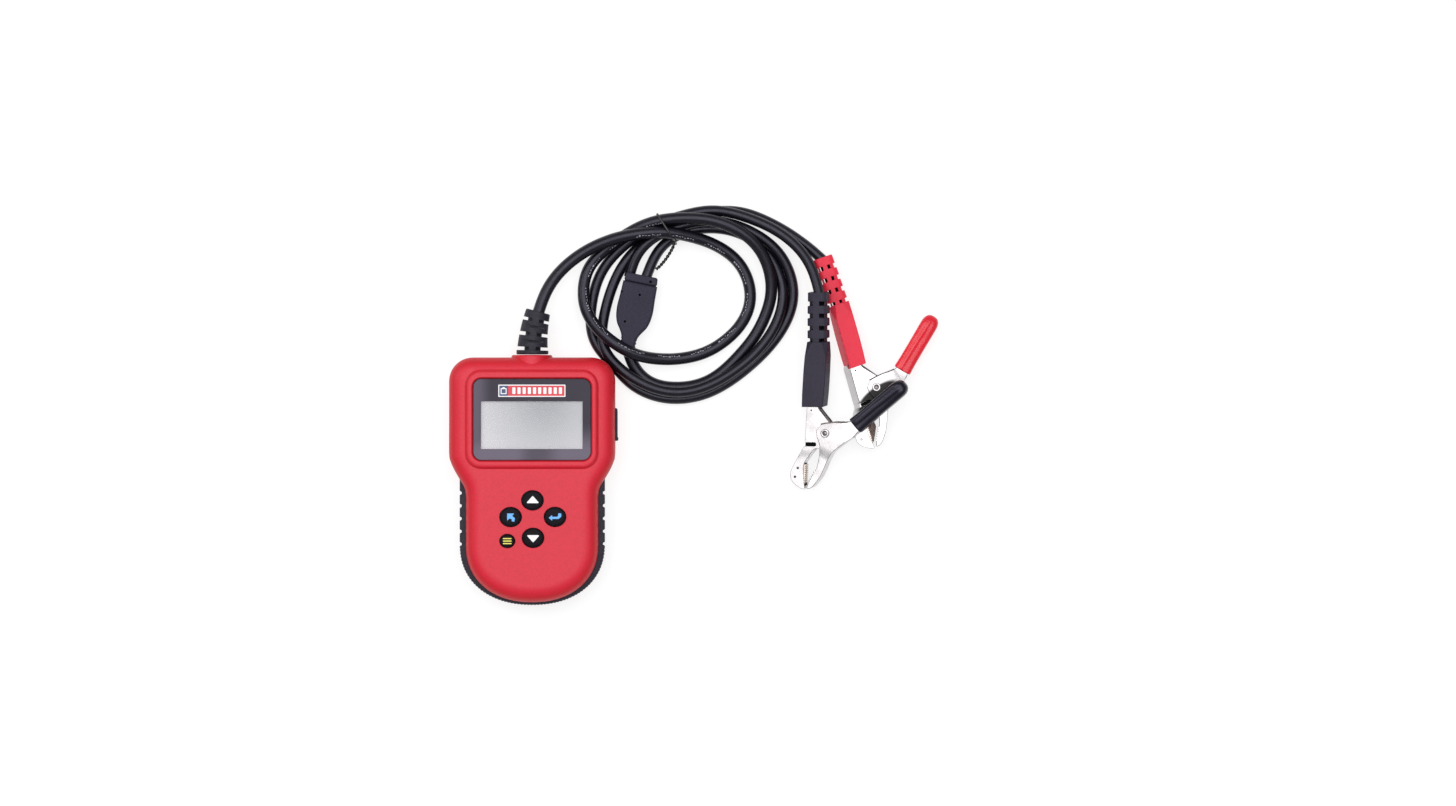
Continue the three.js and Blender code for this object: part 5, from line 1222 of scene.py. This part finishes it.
    neck = [rsect(45.6, -4.1, 4.0, hz=4.9), rsect(48.05, -4.08, 4.0, hz=4.93)]
    for i in range(4):
        y0, cx = 48.2 + 6.2 * i, -4.07 + 0.07 * i
        h = 5.25 if i < 3 else 5.1
        y1 = y0 + 3.9 if i < 3 else 71.4
        zz = 4.95 if i < 3 else 4.9
        neck += [rsect(y0, cx, h - 0.35, hz=zz), rsect(y0 + 0.12, cx, h - 0.1, hz=zz - 0.0), rsect(y0 + 0.35, cx, h, hz=zz), rsect(y1 - 0.35, cx, h - 0.02, hz=zz), rsect(y1 - 0.12, cx, h - 0.12, hz=zz), rsect(y1, cx, h - 0.4, hz=zz)]
        if i < 3:
            neck += [rsect(y1 + 0.05, cx, 4.1, hz=4.93), rsect(y0 + 6.15, cx, 4.1, hz=4.93)]
    nk = raw("n", loft(neck))
    cuts = []
    for i in range(4):
        y0 = 46.3 + 6.2 * i
        y1 = y0 + (1.85 if i == 0 else 2.2)
        y0 = y0 + (0 if i == 0 else -0.15)
        cx = -4.08 + 0.07 * i
        if prefix == "black":
            cuts.append(slab([(cx - 3.35, y0), (cx - 1.85, y0), (cx - 1.85, y1), (cx - 3.35, y1)], -12, 12))
            cuts.append(slab([(cx + 1.3, y0), (cx + 3.75, y0), (cx + 3.75, y1), (cx + 1.3, y1)], 1.2, 12))
            cuts.append(slab([(cx + 1.3, y0), (cx + 3.75, y0), (cx + 3.75, y1), (cx + 1.3, y1)], -12, -1.2))
        else:
            for a0, a1 in ((-3.1, -1.5), (0.75, 2.2)):
                cuts.append(slab([(cx + a0, y0 + 0.1), (cx + a1, y0 + 0.1), (cx + a1, y1 - 0.1), (cx + a0, y1 - 0.1)], -12, 12))
    cut(nk, *cuts)
    combine(blk, "UNION", nk)
    cut(blk, loft([section(10, -6.3, 3.9, 4.6, 0.6), section(15.5, -6.2, 3.9, 4.6, 0.6)]))
    put(blk, boot_mat, "handset", ["boot"], 24)
    if prefix == "red":
        core = [rsect(y, -4.08 + 0.012 * (y - 46), 2.7 if y > 46 else 2.5, 32, 2) for y in np.linspace(42, 71.0, 24)]
        put(raw("red_boot_core", loft(core)), CABLE, "handset", [])
    else:
        # painted shade: near-black webs deep in the right-hand windows
        strip = [slab(roundrect(cx + 1.35, cx + 3.7, y + 0.05, y + 1.8, 0.1, 2), -1.15, 1.3) for cx, y in ((-4.08, 46.4), (-4.0, 52.5), (-3.94, 58.7), (-3.87, 64.9))]
        put(raw("black_boot_web_shade", joined(*strip)), HOLE, "handset", [])
    if prefix == "red":
        # moulding line down the face of the boot
        seam = [(-6.15, 15.2), (-6.0, 15.2), (-5.05, 33.0), (-5.2, 33.0)]
        put(raw("red_boot_seam", slab(seam, 5.0, 5.98)), boot_mat, "handset", [], 30, False)

    # dipped sleeve over the handle, with a soft ridge along its face
    rows = []
    END = SLEEVE_END[prefix]
    n = 56
    th = np.arange(n) * 2 * math.pi / n
    for t, h, sq in [(1.3, 3.9, 5.2), (1.25, 4.2, 5.2), (1.5, 4.45, 5.2), (2.2, 4.5, 5.1), (4, 4.4, 5.0), (8, 4.3, 5.0), (12, 4.28, 5.0), (16, 4.28, 5.0), (18, 4.3, 5.0), (20, 4.3, 4.9), (22, 4.32, 4.8), (24.5, 4.34, 4.6), (END - 5.2, 4.36, 4.0), (END - 3.2, 4.15, 3.4), (END - 1.8, 3.6, 2.8), (END - 0.8, 2.8, 2.6), (END - 0.2, 1.8, 2.4), (END, 0.7, 2.2)]:
        r = h / (np.abs(np.cos(th)) ** sq + np.abs(np.sin(th)) ** sq) ** (1 / sq)
        u, z = r * np.cos(th), r * np.sin(th)
        k = min(1.0, h / 4.0) * (1 if t > 1.4 else 0.6) * smooth(1.5, 4, t) * (1 - smooth(END - 6, END - 1.5, t))
        off = (0.9 if prefix == "red" else 0.5) + 0.3 * math.sin(t * 0.16)
        z = z + np.where(z > 0, k * (0.46 * np.exp(-((u - off) / 0.8) ** 2) - 0.16 * ((u - off) / 3.2) ** 2), 0)
        z = z + 0.03 * np.sin(t * 0.9 + u)
        rows.append(np.array([list(hpt(t, uu)) + [zz] for uu, zz in zip(u, z)]))
    rows = [np.array(r) for r in rows]
    sl = raw(f"{prefix}_sleeve", loft(rows))
    cut(sl, slab([hpt(-1, -3.45), hpt(2.6, -3.45), hpt(2.6, 3.45), hpt(-1, 3.45)], -3.7, 3.7))
    put(sl, sleeve_mat, body, ["handle_sleeve"], 40)

    # eyelet rivet
    q = W / 2 + GAPC
    prof = [(1.05, -q - 0.15)]
    for s in (-1, 1):
        ring = [(1.62 + 0.6 * math.cos(b), s * (q + 0.12) + s * 0.42 * math.sin(b)) for b in np.linspace(math.pi, 0, 9)]
        prof += ring if s < 0 else ring[::-1]
    prof = [(1.02, -q - 0.1)] + [(1.62 - 0.6 * math.cos(b), -q - 0.08 - 0.42 * math.sin(b)) for b in np.linspace(0, math.pi, 9)] + [(1.6, -q + 0.2), (1.6, q - 0.2)] + [(1.62 + 0.6 * math.cos(b), q + 0.08 + 0.42 * math.sin(b)) for b in np.linspace(0, math.pi, 9)] + [(1.02, q + 0.1), (1.02, -q - 0.1)]
    put(raw(f"{prefix}_eyelet", lathe(prof, 40)), NICKEL, "handset", ["pivot_rivet"])
    # painted shade: a darker disc down in the eyelet's bore
    put(raw(f"{prefix}_eyelet_bore", lathe([(0, q - 0.9), (0.98, q - 0.9), (0.98, q - 0.55), (0.55, q - 0.35), (0, q - 0.3)], 28)), BORE, "handset", [])

    # torsion spring
    pts = [(-6.2, 11.2, -1.9), (-5.0, 7.5, -1.9)]
    for i in range(73):
        b = math.radians(150 - 360 * i / 24 * 0.75)
        pts.append((2.55 * math.cos(b), 2.55 * math.sin(b), -1.9 + 3.8 * i / 72))
    pts += [(5.0, 1.7, 1.9), (7.6, 3.2, 1.9), (10.2, 4.1, 1.9)]
    put(raw(f"{prefix}_spring_wire", tube(catmull(pts, 0.5), 0.4, 10)), SPRING, "handset", ["torsion_spring"], 50, False)
    return pieces


def local_frame(pivot, x, y, z):
    return [[x[0], y[0], z[0], pivot[0]], [x[1], y[1], z[1], pivot[1]], [x[2], y[2], z[2], pivot[2]], [0, 0, 0, 1]]


turn = math.radians(19.5)
RED_M = local_frame((174.9, 47.1, 6.05), (math.cos(turn), math.sin(turn), 0), (-math.sin(turn), math.cos(turn), 0), (0, 0, 1))
up = Vector((-0.2497, -0.08, 1)).normalized()
q = Vector((0, 0, 1)).rotation_difference(up).to_matrix()
BLACK_M = local_frame((149.8, 24.1, 11.65), q.col[0], q.col[1], q.col[2])
red_pieces = clamp("red", RED_M, BOOT_RED, SLEEVE_RED)
black_pieces = clamp("black", BLACK_M, BOOT_BLACK, SLEEVE_BLACK)

# ------------------------------------------------------------------ cords in place
main = cord_curve("main_cord", main_line, MAIN_D)
black = cord_curve("black_lead_cord", black_line, LEAD_D)
red = cord_curve("red_lead_cord", red_line, LEAD_D)
rng = np.random.default_rng(7)


def dashes(line, d, start, stop, phi):
    """Short light printed strokes along a cable, a little off its top."""
    t, _, _ = frames_along(line)
    s = np.concatenate([[0], np.cumsum(np.linalg.norm(np.diff(line, axis=0), axis=1))])
    at_s = lambda q, a: np.array([np.interp(q, s, a[:, k]) for k in range(3)])
    parts, q = [], start
    group = 0
    while q < stop:
        ln = float(rng.uniform(0.5, 1.3))
        h0, h1 = sorted(rng.uniform(-0.5, 0.5, 2))
        if h1 - h0 < 0.28:
            h1 = h0 + 0.3
        rings = []
        for a in (q, q + ln / 2, q + ln):
            c, tn = at_s(a, line), at_s(a, t)
            tn /= np.linalg.norm(tn)
            side = np.cross(tn, (0, 0, 1.0))
            side /= np.linalg.norm(side)
            up_ = np.cross(side, tn)
            row = []
            for r, hs in ((d / 2 + 0.035, (h0, (h0 + h1) / 2, h1)), (d / 2 - 0.05, (h1, (h0 + h1) / 2, h0))):
                for h in hs:
                    w = phi + h / (d / 2)
                    row.append(c + r * (math.cos(w) * up_ + math.sin(w) * side))
            rings.append(row)
        parts.append(loft([np.array(r) for r in rings]))
        group += 1
        q += ln + float(rng.uniform(0.35, 0.8)) + (float(rng.uniform(3, 7)) if group % 9 == 0 else 0)
    return parts


marks = dashes(main_line, MAIN_D, PRINT_SPAN[0], PRINT_SPAN[1], PRINT_SPAN[2])
for o, rep in ((main, ["main_cable", "cable_coil"]), (black, ["black_lead"]), (red, ["red_lead"])):
    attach(o, "handset")
    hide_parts(*rep)
dress(shade(raw("cable_print", joined(*marks)), 60, False), PRINT)
print("LENGTHS", along(main_line), along(black_line), along(red_line))

# ------------------------------------------------------------------ pieces inside and small fittings
for n, m in {"lcd_frame": WHITE_PLASTIC, "backlight_panel": WHITE_PLASTIC, "main_board": PCB, "processor_chip": CHIP, "load_resistor": CERAMIC, "power_transistor": CHIP, "buzzer": CHIP, "cable_header": WHITE_PLASTIC, "usb_socket": STEEL, "keypad_mat": SILICONE, "cable_tail": CABLE, "switch_up": CHIP, "switch_down": CHIP, "switch_back": CHIP, "switch_enter": CHIP, "switch_fn": CHIP}.items():
    ob = nodes[n]
    ob.data.materials.clear()
    ob.data.materials.append(m)
for k, (x, y) in enumerate(((-34.3, 52.6), (34.3, 52.6), (-25, -38), (25, -38))):
    prof = [(0, 20.2), (1.3, 19.4), (1.3, 3.2), (2.45, 3.2), (2.5, 3.0), (2.5, 1.7), (2.3, 1.35), (1.6, 1.2), (0, 1.15)]
    o = raw(f"screw_{k + 1}", lathe(prof, 36, (x, y)))
    cut(o, slab(roundrect(-1.5, 1.5, -0.32, 0.32, 0.1, 2) + [x, y], 0, 2.3), slab(roundrect(-0.32, 0.32, -1.5, 1.5, 0.1, 2) + [x, y], 0, 2.3))
    dress(shade(o, 35), STEEL, replaces=[f"case_screw_{k + 1}"])

# ------------------------------------------------------------------ floor and light
floor = raw("floor", slab([(-2900, -2960), (3100, -2960), (3100, 3040), (-2900, 3040)], -2.3, -0.3))
fm = material("floor_white", (0.3, 0.3, 0.3, 1), 0.9, spec=0.0, bump=[(60, 0.02, 0.05)])
fm.node_tree.nodes["Principled BSDF"].inputs["Emission Color"].default_value = (1, 1, 1, 1)
fm.node_tree.nodes["Principled BSDF"].inputs["Emission Strength"].default_value = 0.76
floor.data.materials.append(fm)

world = bpy.data.worlds.new("world") if scene.world is None else scene.world
scene.world = world
world.use_nodes = True
bg = world.node_tree.nodes.get("Background") or world.node_tree.nodes.new("ShaderNodeBackground")
bg.inputs["Color"].default_value = (1, 1, 1, 1)
bg.inputs["Strength"].default_value = 0.40


def area_light(name, loc, target, size, power, colour=(1, 1, 1)):
    d = bpy.data.lights.new(name, "AREA")
    d.shape = "RECTANGLE"
    d.size, d.size_y = size
    d.energy = power
    d.color = colour
    o = bpy.data.objects.new(name, d)
    o.location = loc
    o.rotation_euler = (Vector(target) - Vector(loc)).to_track_quat("-Z", "Y").to_euler()
    scene.collection.objects.link(o)
    return o


area_light("overhead", (0.02, 0.35, 1.75), (0.09, 0.04, 0), (2.1, 1.6), 27)
area_light("side", (-1.3, 0.6, 0.9), (0.08, 0.04, 0), (0.8, 0.6), 4)
